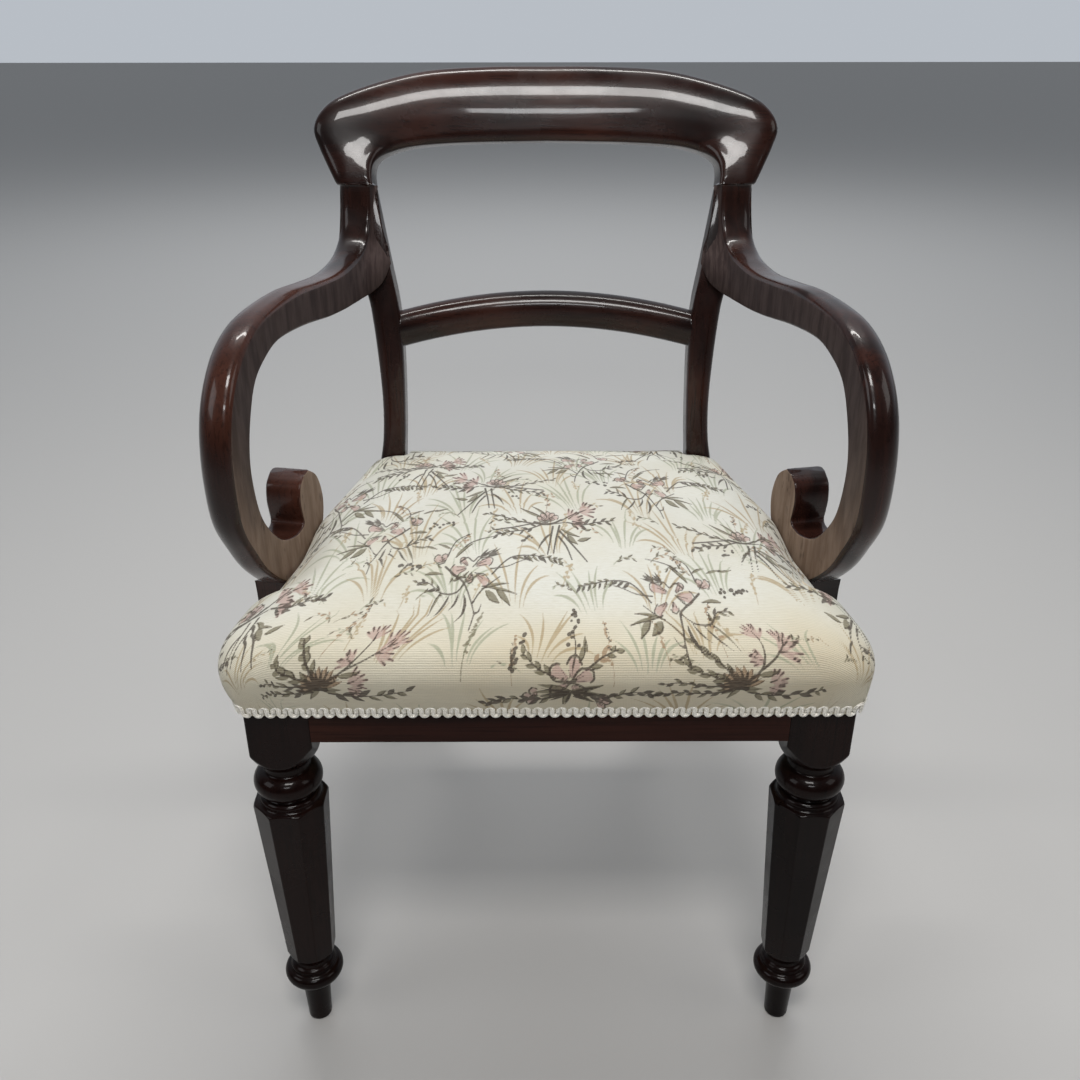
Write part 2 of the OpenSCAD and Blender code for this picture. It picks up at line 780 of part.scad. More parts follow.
// Wadding under the skirt of the cover, in strips along the outside of the frame
module edge_wadding(low, high) {
    color(wadding) placed() intersection() {
        difference() {
            stuffing(cover_hem + 8, hessian_top);
            frame_space(0.2, far);
        }
        translate([low[0], low[1], 0]) cube([high[0] - low[0], high[1] - low[1], far]);
    }
}

module edge_wadding_front() {
    edge_wadding([-far, -far], [far, -block_side / 2 - 0.2]);
}

module edge_wadding_side(side) {
    edge_wadding(side == right ? [0, -block_side / 2] : [-far, -block_side / 2],
        side == right ? [far, rear_leg_front] : [0, rear_leg_front]);
}

module edge_wadding_rear() {
    edge_wadding([-stile_inner, rear_rail_back], [stile_inner, far]);
}

module seat_cover() {
    color(tapestry) placed() difference() {
        seat_form(cover_levels, dome_top);
        seat_form(concat([[0.4, 0.6, 390, 12]],
            lowered(shrunk(cover_levels, cover_thickness), cover_thickness)), dome_top - cover_thickness);
        frame_space(0.1, 436);
        post_space();
    }
}

// The hem of the cover is held by small tacks under the braid
module cover_tacks() {
    z = cover_hem + 5;
    out = cover_thickness + 1.2;
    color(steel) placed() {
        for (x = [-220 : 40 : 220])
            translate([x, -block_side / 2 - out, z]) rotate([90, 0, 0]) tack(2.2, 9);
        for (x = [-140 : 40 : 140])
            translate([x, rear_rail_back + out - 1, z]) rotate([-90, 0, 0]) tack(2.2, 9);
        for (side = [left, right]) mirror([side == left ? 1 : 0, 0, 0])
            for (y = [35, 75, 110, 220, 260, 300, 340, 375])
                rail_frame() translate([out + 0.5, y, z]) rotate([0, 90, 0]) tack(2.2, 9);
    }
}

// The whole band of braid round the seat, before it is cut at the posts
module braid_band() {
    inner = [for (z = [cover_hem, cover_hem + 5, cover_hem + 10, cover_hem + braid_width])
        let (t = (z - cover_hem) / 10, low = cover_levels[0], next = cover_levels[1],
            g = mix(low, next, t)) [g[0], g[1], z, g[3]]];
    difference() {
        seat_form(shrunk(inner, -braid_thickness), cover_hem + braid_width);
        seat_form(concat([[inner[0][0] + touch, inner[0][1] + touch, cover_hem - 5, 12]],
            shrunk(inner, -touch), [[11, 12, cover_hem + braid_width + 5, 22]]), cover_hem + 25);
        post_space();
    }
}

module braid_part(low, high) {
    color(gimp) placed() intersection() {
        braid_band();
        translate(low) cube(high - low);
    }
}

module gimp_front() {
    braid_part([-400, -100, 300], [400, 125, 500]);
}

module gimp_side(side) {
    if (side == right) braid_part([100, 180, 300], [400, rear_leg_front, 500]);
    else braid_part([-400, 180, 300], [-100, rear_leg_front, 500]);
}

module gimp_rear() {
    braid_part([-400, rear_leg_front, 300], [400, 500, 500]);
}

// ---------------------------------------------------------------- nodes

front_leg(left);  // front_leg_left
front_leg(right);  // front_leg_right
rear_leg(left);  // rear_leg_left
rear_leg(right);  // rear_leg_right
front_seat_rail();
rear_seat_rail();
side_seat_rail(left);  // side_seat_rail_left
side_seat_rail(right);  // side_seat_rail_right
crest_rail();
mid_rail();
arm(left);  // arm_left
arm(right);  // arm_right
arm_support(left);  // arm_support_left
arm_support(right);  // arm_support_right
corner_block_front(left);  // corner_block_front_left
corner_block_front(right);  // corner_block_front_right
corner_block_rear(left);  // corner_block_rear_left
corner_block_rear(right);  // corner_block_rear_right
corner_block_screws();
crest_dowels(left);  // crest_dowels_left
crest_dowels(right);  // crest_dowels_right
arm_screw(left);  // arm_screw_left
arm_screw(right);  // arm_screw_right
arm_screw_plug(left);  // arm_screw_plug_left
arm_screw_plug(right);  // arm_screw_plug_right
arm_support_screws(left);  // arm_support_screws_left
arm_support_screws(right);  // arm_support_screws_right
webbing_long(0);  // webbing_long_1
webbing_long(1);  // webbing_long_2
webbing_long(2);  // webbing_long_3
webbing_long(3);  // webbing_long_4
webbing_cross(0);  // webbing_cross_1
webbing_cross(1);  // webbing_cross_2
webbing_cross(2);  // webbing_cross_3
webbing_cross(3);  // webbing_cross_4
webbing_tacks();
hessian();
first_stuffing();
second_stuffing();
edge_wadding_front();
edge_wadding_side(left);  // edge_wadding_left
edge_wadding_side(right);  // edge_wadding_right
edge_wadding_rear();
seat_cover();
cover_tacks();
gimp_front();
gimp_side(left);  // gimp_side_left
gimp_side(right);  // gimp_side_right
gimp_rear();
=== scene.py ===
"""Visual model of a mahogany armchair with a tapestry seat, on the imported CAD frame.

Shapes are worked out in millimetres in the leg frame: X to the chair's right as seen from the
front, Y = 0 at the centres of the front legs and growing to the back, Z = 0 on the floor.
to_row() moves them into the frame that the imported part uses.
"""
import math
import bmesh
import bpy
import numpy as np
from mathutils import Matrix, Vector


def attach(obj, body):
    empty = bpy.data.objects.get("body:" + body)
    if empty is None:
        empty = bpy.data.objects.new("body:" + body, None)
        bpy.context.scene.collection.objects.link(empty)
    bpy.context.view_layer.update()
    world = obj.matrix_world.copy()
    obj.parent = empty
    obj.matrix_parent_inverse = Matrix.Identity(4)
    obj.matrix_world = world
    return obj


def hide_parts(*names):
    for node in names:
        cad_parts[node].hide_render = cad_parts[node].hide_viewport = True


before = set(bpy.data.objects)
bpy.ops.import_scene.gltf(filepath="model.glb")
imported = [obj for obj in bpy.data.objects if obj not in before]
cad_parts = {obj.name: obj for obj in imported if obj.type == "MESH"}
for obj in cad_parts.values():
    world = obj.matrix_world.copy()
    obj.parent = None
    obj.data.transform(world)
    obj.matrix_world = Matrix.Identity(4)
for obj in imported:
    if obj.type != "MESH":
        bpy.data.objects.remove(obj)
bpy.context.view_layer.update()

MIDDLE_Y = 262.5    # from the front legs' centres to the middle of the chair's box
LEG_X = 236         # the front legs' axes
TAU = 2 * math.pi


# ---------------------------------------------------------------- helpers

def smooth(points, steps=6):
    """A Catmull-Rom curve through the points."""
    p = np.array(points, float)
    n = len(p)
    out = []
    for i in range(n - 1):
        a, b, c, d = p[max(i - 1, 0)], p[i], p[i + 1], p[min(i + 2, n - 1)]
        for s in range(steps):
            t = s / steps
            out.append(.5 * (2 * b + (c - a) * t + (2 * a - 5 * b + 4 * c - d) * t * t
                             + (3 * b - a - 3 * c + d) * t ** 3))
    out.append(p[-1])
    return np.array(out)


def lengths(path):
    return np.concatenate([[0], np.cumsum(np.linalg.norm(np.diff(path, axis=0), axis=1))])


def resample(path, count):
    """The same path with its points evenly spaced."""
    s = lengths(path)
    t = np.linspace(0, s[-1], count)
    return np.stack([np.interp(t, s, path[:, k]) for k in range(path.shape[1])], 1)


def ramp(x, a, b):
    t = np.clip((np.asarray(x, float) - a) / (b - a), 0, 1)
    return t * t * (3 - 2 * t)


def to_row(v):
    v = np.array(v, float)
    v[..., 1] -= MIDDLE_Y
    return v / 1000


def build(name, verts, faces, material, slot, nodes=(), attributes=None, uv=None, second=None):
    """A mesh object from points in millimetres in the leg frame.

    second is another material and, for each face, whether it has that one."""
    mesh = bpy.data.meshes.new(name)
    mesh.from_pydata(to_row(verts).tolist(), [], [tuple(int(i) for i in f) for f in faces])
    mesh.validate()
    for key, values in (attributes or {}).items():
        values = np.asarray(values, np.float32)
        if values.ndim == 1:
            mesh.attributes.new(key, "FLOAT", "POINT").data.foreach_set("value", values)
        else:
            mesh.attributes.new(key, "FLOAT_COLOR", "POINT").data.foreach_set("color", values.ravel())
    if uv is not None:
        loops = np.empty(len(mesh.loops), np.int32)
        mesh.loops.foreach_get("vertex_index", loops)
        layer = mesh.uv_layers.new(name="fabric")
        layer.data.foreach_set("uv", np.asarray(uv, np.float32)[loops].ravel())
    mesh.polygons.foreach_set("use_smooth", [True] * len(mesh.polygons))
    mesh.materials.append(material)
    if second:
        mesh.materials.append(second[0])
        mesh.polygons.foreach_set("material_index", [int(v) for v in second[1]])
    mesh.update()
    turned = bmesh.new()
    turned.from_mesh(mesh)
    if turned.calc_volume(signed=True) < 0:      # wound the wrong way round: faces look outwards
        mesh.flip_normals()
    turned.free()
    obj = bpy.data.objects.new(name, mesh)
    bpy.context.scene.collection.objects.link(obj)
    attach(obj, "root")
    if nodes:
        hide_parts(*nodes)
    return obj


def loft(rings):
    """Points and faces of closed rings joined one to the next, with a cap at both ends."""
    count, size = rings.shape[:2]
    verts = list(rings.reshape(-1, 3))
    i, j = np.meshgrid(np.arange(count - 1), np.arange(size), indexing="ij")
    k = (j + 1) % size
    faces = np.stack([i * size + j, i * size + k, (i + 1) * size + k, (i + 1) * size + j], -1)
    faces = faces.reshape(-1, 4).tolist()
    verts += [rings[0].mean(0), rings[-1].mean(0)]
    faces += [(len(verts) - 2, (j + 1) % size, j) for j in range(size)]
    base = (count - 1) * size
    faces += [(len(verts) - 1, base + j, base + (j + 1) % size) for j in range(size)]
    return np.array(verts), faces


def grid_faces(n):
    """The squares of an n by n grid of points."""
    index = np.arange(n * n).reshape(n, n)
    return np.stack([index[:-1, :-1], index[:-1, 1:], index[1:, 1:], index[1:, :-1]], -1).reshape(-1, 4)


def closed_outline(arcs, fills):
    """Arcs in a row, with points spread evenly over the gap after each."""
    out = []
    for i, fill in enumerate(fills):
        a, b = arcs[i][-1], arcs[(i + 1) % len(arcs)][0]
        out += [arcs[i], a + (b - a) * np.linspace(0, 1, fill + 2)[1:-1, None]]
    return np.concatenate(out)


def outward(path):
    """Unit normals of a path in plan, to the right of its way."""
    along = np.gradient(path, axis=0)
    along /= np.linalg.norm(along, axis=1)[:, None] + 1e-9
    return np.stack([along[:, 1], -along[:, 0]], 1)


def mirrored(verts, faces):
    verts = np.array(verts, float)
    verts[:, 0] *= -1
    return verts, [tuple(reversed(f)) for f in faces]


def pair(name, verts, faces, material, slot, node, **more):
    """The right piece and its mirror image on the left."""
    build(name + "_right", verts, faces, material, slot, [node + "_right"], **more)
    v, f = mirrored(verts, faces)
    build(name + "_left", v, f, material, slot, [node + "_left"], **more)


# ---------------------------------------------------------------- camera, light and floor

def add_camera():
    cx, distance, height, pitch, yaw, roll, focal = -.0105, .7427, .9150, 26.51, .18, .05, 1032.9
    th, ya, ro = (math.radians(v) for v in (pitch, yaw, roll))
    forward = Vector((math.sin(ya) * math.cos(th), math.cos(ya) * math.cos(th), -math.sin(th)))
    across = Vector((math.cos(ya), -math.sin(ya), 0))
    down = forward.cross(across)
    right = across * math.cos(ro) + down * math.sin(ro)
    below = -across * math.sin(ro) + down * math.cos(ro)
    matrix = Matrix((right, -below, -forward)).transposed().to_4x4()
    matrix.translation = Vector((cx, -distance - MIDDLE_Y / 1000, height))
    data = bpy.data.cameras.new("camera")
    data.sensor_width = 36
    data.lens = focal / 1080 * 36
    data.clip_start = .02
    obj = bpy.data.objects.new("camera", data)
    bpy.context.scene.collection.objects.link(obj)
    obj.matrix_world = matrix
    bpy.context.scene.camera = obj


def area_light(name, place, target, size, power, colour=(1, 1, 1)):
    data = bpy.data.lights.new(name, "AREA")
    data.shape = "RECTANGLE"
    data.size, data.size_y = size
    data.energy = power
    data.color = colour
    obj = bpy.data.objects.new(name, data)
    bpy.context.scene.collection.objects.link(obj)
    place, target = Vector(place), Vector(target)
    obj.location = place
    obj.rotation_euler = (target - place).to_track_quat("-Z", "Y").to_euler()
    return obj


def world_light(tree):
    """A studio that is pale behind the chair and overhead, and dim in front of it."""
    nodes, links = tree.nodes, tree.links
    back = nodes["Background"]
    way = nodes.new("ShaderNodeSeparateXYZ")
    links.new(nodes.new("ShaderNodeTexCoord").outputs["Generated"], way.inputs[0])

    def span(socket, low, high, start, end):
        node = nodes.new("ShaderNodeMapRange")
        node.interpolation_type = "SMOOTHSTEP"
        links.new(socket, node.inputs["Value"])
        for key, value in zip(("From Min", "From Max", "To Min", "To Max"), (low, high, start, end)):
            node.inputs[key].default_value = value
        return node.outputs[0]

    total = nodes.new("ShaderNodeMath")
    total.operation = "ADD"
    links.new(span(way.outputs["Y"], -.10, .55, .05, .56), total.inputs[0])
    links.new(span(way.outputs["Z"], .35, .95, 0, .08), total.inputs[1])
    links.new(total.outputs[0], back.inputs["Strength"])
    back.inputs["Color"].default_value = (.86, .92, 1.0, 1)


def add_lights():
    bpy.context.scene.view_settings.view_transform = "Standard"
    world = bpy.data.worlds.new("studio")
    bpy.context.scene.world = world
    world.use_nodes = True
    world_light(world.node_tree)
    area_light("strip_near", (0, .45, 2.45), (0, 0, .4), (1.6, .12), 22, (1, .98, .95))
    area_light("strip_mid", (0, -1.35, 2.45), (0, 0, .5), (.80, .42), 26, (1, .98, .96))
    area_light("strip_far", (0, -2.9, 2.35), (0, 0, .6), (1.0, .24), 16, (.98, .99, 1))
    wash = area_light("wall_wash", (0, 3.6, 3.2), (0, 3.0, 0), (4.5, 2.5), 80, (.93, .96, 1))
    wash.visible_glossy = False
    area_light("soft_left", (-2.3, -1.2, 1.9), (0, 0, .45), (1.2, 1.2), 10, (.97, .98, 1))
    area_light("soft_right", (2.4, -.9, 2.0), (0, 0, .45), (1.2, 1.2), 8, (1, .98, .96))


def add_floor():
    mesh = bpy.data.meshes.new("floor")
    s = 30
    mesh.from_pydata([(-s, -s, -.0003), (s, -s, -.0003), (s, s, -.0003), (-s, s, -.0003)],
                     [], [(0, 1, 2, 3)])
    material = bpy.data.materials.new("floor")
    material.use_nodes = True
    shader = material.node_tree.nodes["Principled BSDF"]
    shader.inputs["Base Color"].default_value = (.46, .45, .435, 1)
    shader.inputs["Roughness"].default_value = .7
    mesh.materials.append(material)
    obj = bpy.data.objects.new("floor", mesh)
    bpy.context.scene.collection.objects.link(obj)


# ---------------------------------------------------------------- materials

class Nodes:
    """Short names for building a node tree."""

    def __init__(self, name):
        self.material = bpy.data.materials.new(name)
        self.material.use_nodes = True
        self.tree = self.material.node_tree
        self.shader = self.tree.nodes["Principled BSDF"]

    def add(self, kind, settings=None, inputs=None):
        node = self.tree.nodes.new(kind)
        for key, value in (settings or {}).items():
            setattr(node, key, value)
        for key, value in (inputs or {}).items():
            self.plug(node, key, value)
        return node

    def plug(self, node, key, value):
        if isinstance(value, bpy.types.NodeSocket):
            self.tree.links.new(value, node.inputs[key])
        elif isinstance(value, bpy.types.Node):
            self.tree.links.new(value.outputs[0], node.inputs[key])
        else:
            node.inputs[key].default_value = value

    def math(self, op, a, b=0.0, clamp=False):
        return self.add("ShaderNodeMath", {"operation": op, "use_clamp": clamp}, {0: a, 1: b}).outputs[0]

    def times(self, a, b, clamp=False):
        return self.math("MULTIPLY", a, b, clamp)

    def plus(self, a, b):
        return self.math("ADD", a, b)

    def span(self, value, low, high, out_low=0.0, out_high=1.0, soft=True):
        return self.add("ShaderNodeMapRange",
                        {"interpolation_type": "SMOOTHSTEP" if soft else "LINEAR"},
                        {"Value": value, "From Min": low, "From Max": high,
                         "To Min": out_low, "To Max": out_high}).outputs[0]

    def mix(self, fac, a, b):
        node = self.add("ShaderNodeMix", {"data_type": "RGBA"})
        self.plug(node, 0, fac)
        self.plug(node, 6, a)
        self.plug(node, 7, b)
        return node.outputs[2]

    def tint(self, base, value, low, high, most, colour):
        """base, turned towards colour by up to most as value goes from low to high."""
        return self.mix(self.times(self.span(value, low, high), most), base, (*colour, 1))

    def noise(self, vector, scale, detail=3.0, rough=.55, distortion=0.0):
        return self.add("ShaderNodeTexNoise", None, {
            "Vector": vector, "Scale": scale, "Detail": detail, "Roughness": rough,
            "Distortion": distortion}).outputs[0]

    def grain(self, scale, *more):
        """Noise in the object's own space; scale is one number or one for each axis."""
        return self.noise(self.place(scale if isinstance(scale, tuple) else (scale,) * 3), 1.0, *more)

    def place(self, scale=(1, 1, 1), rotation=(0, 0, 0), location=(0, 0, 0)):
        coords = self.add("ShaderNodeTexCoord").outputs["Object"]
        return self.add("ShaderNodeMapping", None, {
            "Vector": coords, "Scale": scale, "Rotation": rotation, "Location": location}).outputs[0]

    def bump(self, height, strength, distance, normal=None):
        node = self.add("ShaderNodeBump", None,
                        {"Height": height, "Strength": strength, "Distance": distance})
        if normal is not None:
            self.plug(node, "Normal", normal)
        return node.outputs[0]

    def finish(self, colour=None, roughness=None, normal=None, **constants):
        if colour is not None:
            self.plug(self.shader, "Base Color", colour)
        if roughness is not None:
            self.plug(self.shader, "Roughness", roughness)
        if normal is not None:
            self.plug(self.shader, "Normal", normal)
        for key, value in constants.items():
            self.shader.inputs[key.replace("_", " ")].default_value = value
        return self.material


def polished_wood(name, grain, dark, mid, light, rough=(.20, .38), coat=.34, specular=.17,
                  tilt=(0, 0, 0), figure=.55, seed=0.0):
    """French-polished mahogany; grain is the axis that the fibres follow."""
    n = Nodes(name)
    long = {"x": (2.2, 30, 30), "y": (30, 2.2, 30), "z": (30, 30, 2.2)}[grain]
    fine = {"x": (9, 420, 420), "y": (420, 9, 420), "z": (420, 420, 9)}[grain]
    board = n.place(long, tilt, (seed, seed * .7, seed * .3))
    fibres = n.place(fine, tilt)
    bands = n.noise(board, 1.0, 4.0, .6, .9)
    cloud = n.grain(6, 2.0)
    pores = n.noise(fibres, 1.0, 2.0, .7)
    base = n.mix(n.span(bands, .34, .70), (*dark, 1), (*mid, 1))
    base = n.tint(base, cloud, .45, .75, figure, light)
    base = n.tint(base, pores, .50, .66, .45, [v * .45 for v in dark])
    smudge = n.grain(14, 4.0, .65)
    rough_out = n.span(smudge, .30, .75, *rough)
    dents = n.add("ShaderNodeTexVoronoi", {"feature": "F1"}, {"Vector": n.place((46, 46, 46)), "Scale": 1.0})
    dent = n.span(dents.outputs["Distance"], .02, .11)
    specks = n.grain(70, 2.0)
    dent = n.math("MAXIMUM", dent, n.span(specks, .58, .52))
    height = n.plus(n.times(dent, .8), n.times(pores, .25))
    ripple = n.grain(22, 2.0)
    normal = n.bump(ripple, .10, .0016)
    normal = n.bump(height, .22, .0004, normal)
    return n.finish(base, rough_out, normal, Coat_Weight=coat, Coat_Roughness=.05, Coat_IOR=1.5,
                    Specular_IOR_Level=specular)


def worn_face(name):
    """The arms' flat inner faces: dull and dark on the limb; pale on the scroll, partly rubbed bare and
    partly painted light reflected from the seat.
    """
    n = Nodes(name)
    fibres = n.noise(n.place((420, 60, 16), (.18, 0, 0)), 1.0, 3.0, .7)
    bands = n.noise(n.place((60, 26, 5), (.18, 0, 0)), 1.0, 3.0, .6, .5)
    wear_and_seat_glow = n.add("ShaderNodeAttribute", {"attribute_name": "wear_and_seat_glow"}).outputs["Fac"]
    patch = n.grain((14, 14, 7), 3.0, .6)
    wear_and_seat_glow = n.times(wear_and_seat_glow, n.span(patch, .25, .60, .70, 1.0), True)
    deep = n.mix(n.span(fibres, .35, .65), (.030, .019, .018, 1), (.058, .040, .037, 1))
    # the pale tone: rubbed-bare wood together with painted light reflected from the seat
    pale = n.mix(n.span(fibres, .35, .62), (.190, .128, .090, 1), (.270, .195, .145, 1))
    pale = n.tint(pale, bands, .42, .68, .35, (.125, .078, .052))
    base = n.mix(n.span(wear_and_seat_glow, .12, .90), deep, pale)
    marks = n.grain((90, 90, 30), 3.0, .7)
    base = n.tint(base, marks, .60, .70, .5, (.030, .018, .014))
    return n.finish(base, n.span(patch, .3, .7, .52, .68), n.bump(fibres, .15, .0004),
                    Specular_IOR_Level=.16)


def raw_beech(name, grain="x"):
    n = Nodes(name)
    scale = {"x": (4, 60, 60), "y": (60, 4, 60), "z": (60, 60, 4)}[grain]
    rings = n.noise(n.place(scale), 1.0, 4.0, .6, .4)
    flecks = n.noise(n.place(tuple(v * 6 for v in scale)), 1.0, 1.0)
    base = n.mix(n.span(rings, .3, .7), (.38, .24, .13, 1), (.55, .38, .22, 1))
    base = n.tint(base, flecks, .55, .68, .5, (.26, .15, .08))
    dust = n.grain(11, 3.0)
    base = n.tint(base, dust, .4, .7, .35, (.30, .24, .18))
    return n.finish(base, n.span(dust, .3, .7, .60, .80), n.bump(rings, .25, .0006))


def woven(name, warp, weft, pitch, direction="x", stripe=None, rough=.9):
    """A plain weave with its threads along X and Y, for flat cloth and webbing."""
    n = Nodes(name)
    k = TAU / pitch
    place = n.place((k, k, k))
    parts = n.add("ShaderNodeSeparateXYZ", None, {0: place})
    sx = n.math("SINE", parts.outputs[0])
    sy = n.math("SINE", parts.outputs[1])
    over = n.times(sx, sy)
    fuzz = n.grain(700, 2.0)
    slub = n.noise(n.place((8, 160, 30) if direction == "x" else (160, 8, 30)), 1.0, 2.0)
    base = n.mix(n.span(over, -.4, .4), (*warp, 1), (*weft, 1))
    base = n.tint(base, slub, .4, .7, .5, [v * .6 for v in warp])
    if stripe:
        axis = 1 if direction == "x" else 0
        lines = n.math("SINE", n.add("ShaderNodeSeparateXYZ", None,
                                     {0: n.place((TAU / .04,) * 3)}).outputs[axis])
        base = n.tint(base, lines, .80, .92, .75, stripe)
    height = n.plus(n.times(n.math("ABSOLUTE", over), .8), n.times(fuzz, .5))
    return n.finish(base, rough, n.bump(height, .55, pitch * .22), Sheen_Weight=.15,
                    Sheen_Roughness=.5)


def plain_fibre(name, colour, shade, scale=60):
    n = Nodes(name)
    tufts = n.noise(n.place((scale,) * 3), 1.0, 4.0, .7, .5)
    base = n.mix(n.span(tufts, .3, .7), (*shade, 1), (*colour, 1))
    return n.finish(base, .95, n.bump(tufts, .5, .002), Sheen_Weight=.3)


def steel(name):
    n = Nodes(name)
    scale = n.grain(300, 3.0)
    base = n.mix(n.span(scale, .45, .7), (.16, .15, .14, 1), (.07, .045, .03, 1))
    return n.finish(base, n.span(scale, .3, .7, .35, .65), n.bump(scale, .3, .0003), Metallic=.85)


def braid_material():
    n = Nodes("gimp_cord")
    thread = n.grain(900, 1.0)
    tone = n.grain(20, 3.0)
    base = n.mix(n.span(thread, .35, .65), (.78, .75, .66, 1), (.97, .95, .89, 1))
    base = n.tint(base, tone, .45, .75, .30, (.72, .62, .48))
    return n.finish(base, .8, n.bump(thread, .4, .0004), Sheen_Weight=.25, Sheen_Roughness=.4)


def tapestry_material():
    """Ribbed cream cloth; the woven motifs come as distance fields in two vertex attributes."""
    n = Nodes("tapestry")
    uv = n.add("ShaderNodeUVMap", {"uv_map": "fabric"}).outputs[0]
    parts = n.add("ShaderNodeSeparateXYZ", None, {0: uv})
    ribs = n.math("SINE", n.times(parts.outputs[1], TAU / .0019))
    warp = n.math("SINE", n.times(parts.outputs[0], TAU / .0011))
    scaled = n.add("ShaderNodeMapping", None, {"Vector": uv, "Scale": (130, 900, 1)}).outputs[0]
    slub = n.noise(scaled, 1.0, 2.0, .6)
    thread = n.noise(n.add("ShaderNodeMapping", None, {"Vector": uv, "Scale": (420, 1100, 1)}).outputs[0],
                     1.0, 1.0)
    stain = n.noise(n.add("ShaderNodeMapping", None, {"Vector": uv, "Scale": (7, 7, 1)}).outputs[0],
                    1.0, 3.0, .55)
    clean = n.mix(n.span(stain, .38, .74), (.640, .640, .585, 1), (.600, .580, .485, 1))
    yellowed_and_shaded_front = n.mix(n.span(stain, .38, .70), (.640, .595, .470, 1), (.590, .520, .380, 1))
    # the front drop turns yellower and darker than the top: partly staining, partly painted shade, with the
    # top kept brighter and cooler as if lit from above
    base = n.mix(n.span(parts.outputs[1], .035, -.045), clean, yellowed_and_shaded_front)
    base = n.tint(base, slub, .42, .66, .35, (.530, .500, .400))
    first = n.add("ShaderNodeSeparateColor",
                  None, {0: n.add("ShaderNodeAttribute", {"attribute_name": "motif_a"}).outputs["Color"]})
    second = n.add("ShaderNodeSeparateColor",
                   None, {0: n.add("ShaderNodeAttribute", {"attribute_name": "motif_b"}).outputs["Color"]})
    jitter = n.times(n.math("SUBTRACT", thread, .5), .10)

    def layer(base, socket, colour, strength, soft=.05):
        value = n.plus(socket, jitter)
        mask = n.span(value, .5 - soft, .5 + soft, 1.0, 0.0)
        broken = n.span(slub, .30, .70, strength, strength * .78)
        return n.mix(n.times(mask, broken), base, colour)

    base = layer(base, second.outputs[1], (.310, .330, .230, 1), .84, .06)   # sage grass
    base = layer(base, second.outputs[2], (.360, .270, .145, 1), .84, .06)   # tan grass
    base = layer(base, second.outputs[0], (.300, .190, .105, 1), .90)        # tasselled stalks
    base = layer(base, first.outputs[1], (.440, .285, .255, 1), .80, .08)    # pink petals
    base = layer(base, first.outputs[2], (.150, .132, .078, 1), .92)         # olive leaves
    base = layer(base, first.outputs[0], (.042, .029, .022, 1), .98, .05)    # dark outlines
    height = n.plus(n.times(ribs, .55), n.times(warp, .18))
    height = n.plus(height, n.times(slub, .8))
    # darker brown between the ribs: painted shade in the weave's hollows
    base = n.tint(base, ribs, -.2, -1.0, .16, (.36, .31, .20))
    return n.finish(base, .92, n.bump(height, .42, .0005), Sheen_Weight=.06, Sheen_Roughness=.45)


DARK = (.0080, .0034, .0028)
MID = (.0215, .0078, .0058)
LIGHT = (.056, .0175, .0105)
FRAME_WOOD = dict(dark=DARK, mid=MID, light=LIGHT)
wood_x = polished_wood("mahogany_across", "x", **FRAME_WOOD)
wood_z = polished_wood("mahogany_upright", "z", **FRAME_WOOD)
wood_arm = polished_wood("mahogany_arm", "z", (.0110, .0042, .0032), (.034, .0118, .0082),
                         (.080, .027, .016), tilt=(.18, 0, 0), seed=3.0, specular=.2)
# the legs' mahogany is darker than the frame's: painted shade for the dim light low under the seat
wood_leg_shaded = polished_wood("mahogany_leg_shaded", "z", (.0028, .0013, .0011), (.0062, .0025, .0021),
                         (.0145, .0052, .0038), coat=.20, specular=.05, rough=(.22, .40))
wood_rail = polished_wood("mahogany_rail", "x", (.0110, .0034, .0024), (.0270, .0080, .0050),
                          (.0480, .0150, .0080), rough=(.32, .5), coat=.10, specular=.06)
wood_side = polished_wood("mahogany_side_rail", "y", (.0110, .0034, .0024), (.0270, .0080, .0050),
                          (.0480, .0150, .0080), rough=(.32, .5), coat=.10, specular=.10)
arm_face = worn_face("mahogany_worn_seat_lit")
beech_x = raw_beech("beech_across", "x")
beech_z = raw_beech("beech_upright", "z")
web_y = woven("webbing_long", (.42, .33, .20), (.52, .42, .27), .0032, "y", (.12, .11, .12))
web_x = woven("webbing_cross", (.42, .33, .20), (.52, .42, .27), .0032, "x", (.12, .11, .12))
jute = woven("hessian", (.40, .29, .16), (.50, .38, .22), .0028, "x")
scrim = woven("scrim", (.62, .53, .38), (.70, .61, .46), .0022, "x")
felt = plain_fibre("wadding", (.82, .80, .74), (.66, .63, .56))
iron = steel("steel")
cord = braid_material()
tapestry = tapestry_material()


# ---------------------------------------------------------------- stiles and rear legs

STILE_OUT = smooth([[197, 0], [198, 150], [200, 300], [200, 400], [198, 440], [192, 478],
                    [190, 530], [194, 600], [201, 655], [212, 705], [226, 764]])
STILE_IN = smooth([[165, 0], [167, 150], [168, 300], [168, 400], [168, 445], [165, 490],
                   [163, 550], [163, 595], [166, 635], [173, 675], [190, 764]])
STILE_FRONT = smooth([[532, 0], [500, 70], [452, 180], [413, 280], [396, 360], [395, 420],
                      [399, 480], [405, 580], [413, 650], [426, 705], [445, 764]])
STILE_BACK = smooth([[570, 0], [541, 80], [500, 180], [461, 280], [443, 360], [440, 420],
                     [437, 480], [440, 580], [446, 650], [457, 705], [474, 764]])


def at_z(curve, z):
    return np.interp(z, curve[:, 1], curve[:, 0])


RAKE = math.radians(12)


def crest_point(x, y, h):
    """From the crest rail's own frame to the leg frame."""
    return np.stack([x, 433 + y * math.cos(RAKE) + h * math.sin(RAKE),
                     760 - y * math.sin(RAKE) + h * math.cos(RAKE)], -1)


def keep_below_joint(p, gap=.12):
    """Points above the plane of the crest joint are brought down onto it."""
    h = (p[..., 1] - 433) * math.sin(RAKE) + (p[..., 2] - 760) * math.cos(RAKE) + gap
    h = np.maximum(h, 0)
    p[..., 1] -= h * math.sin(RAKE)
    p[..., 2] -= h * math.cos(RAKE)
    return p


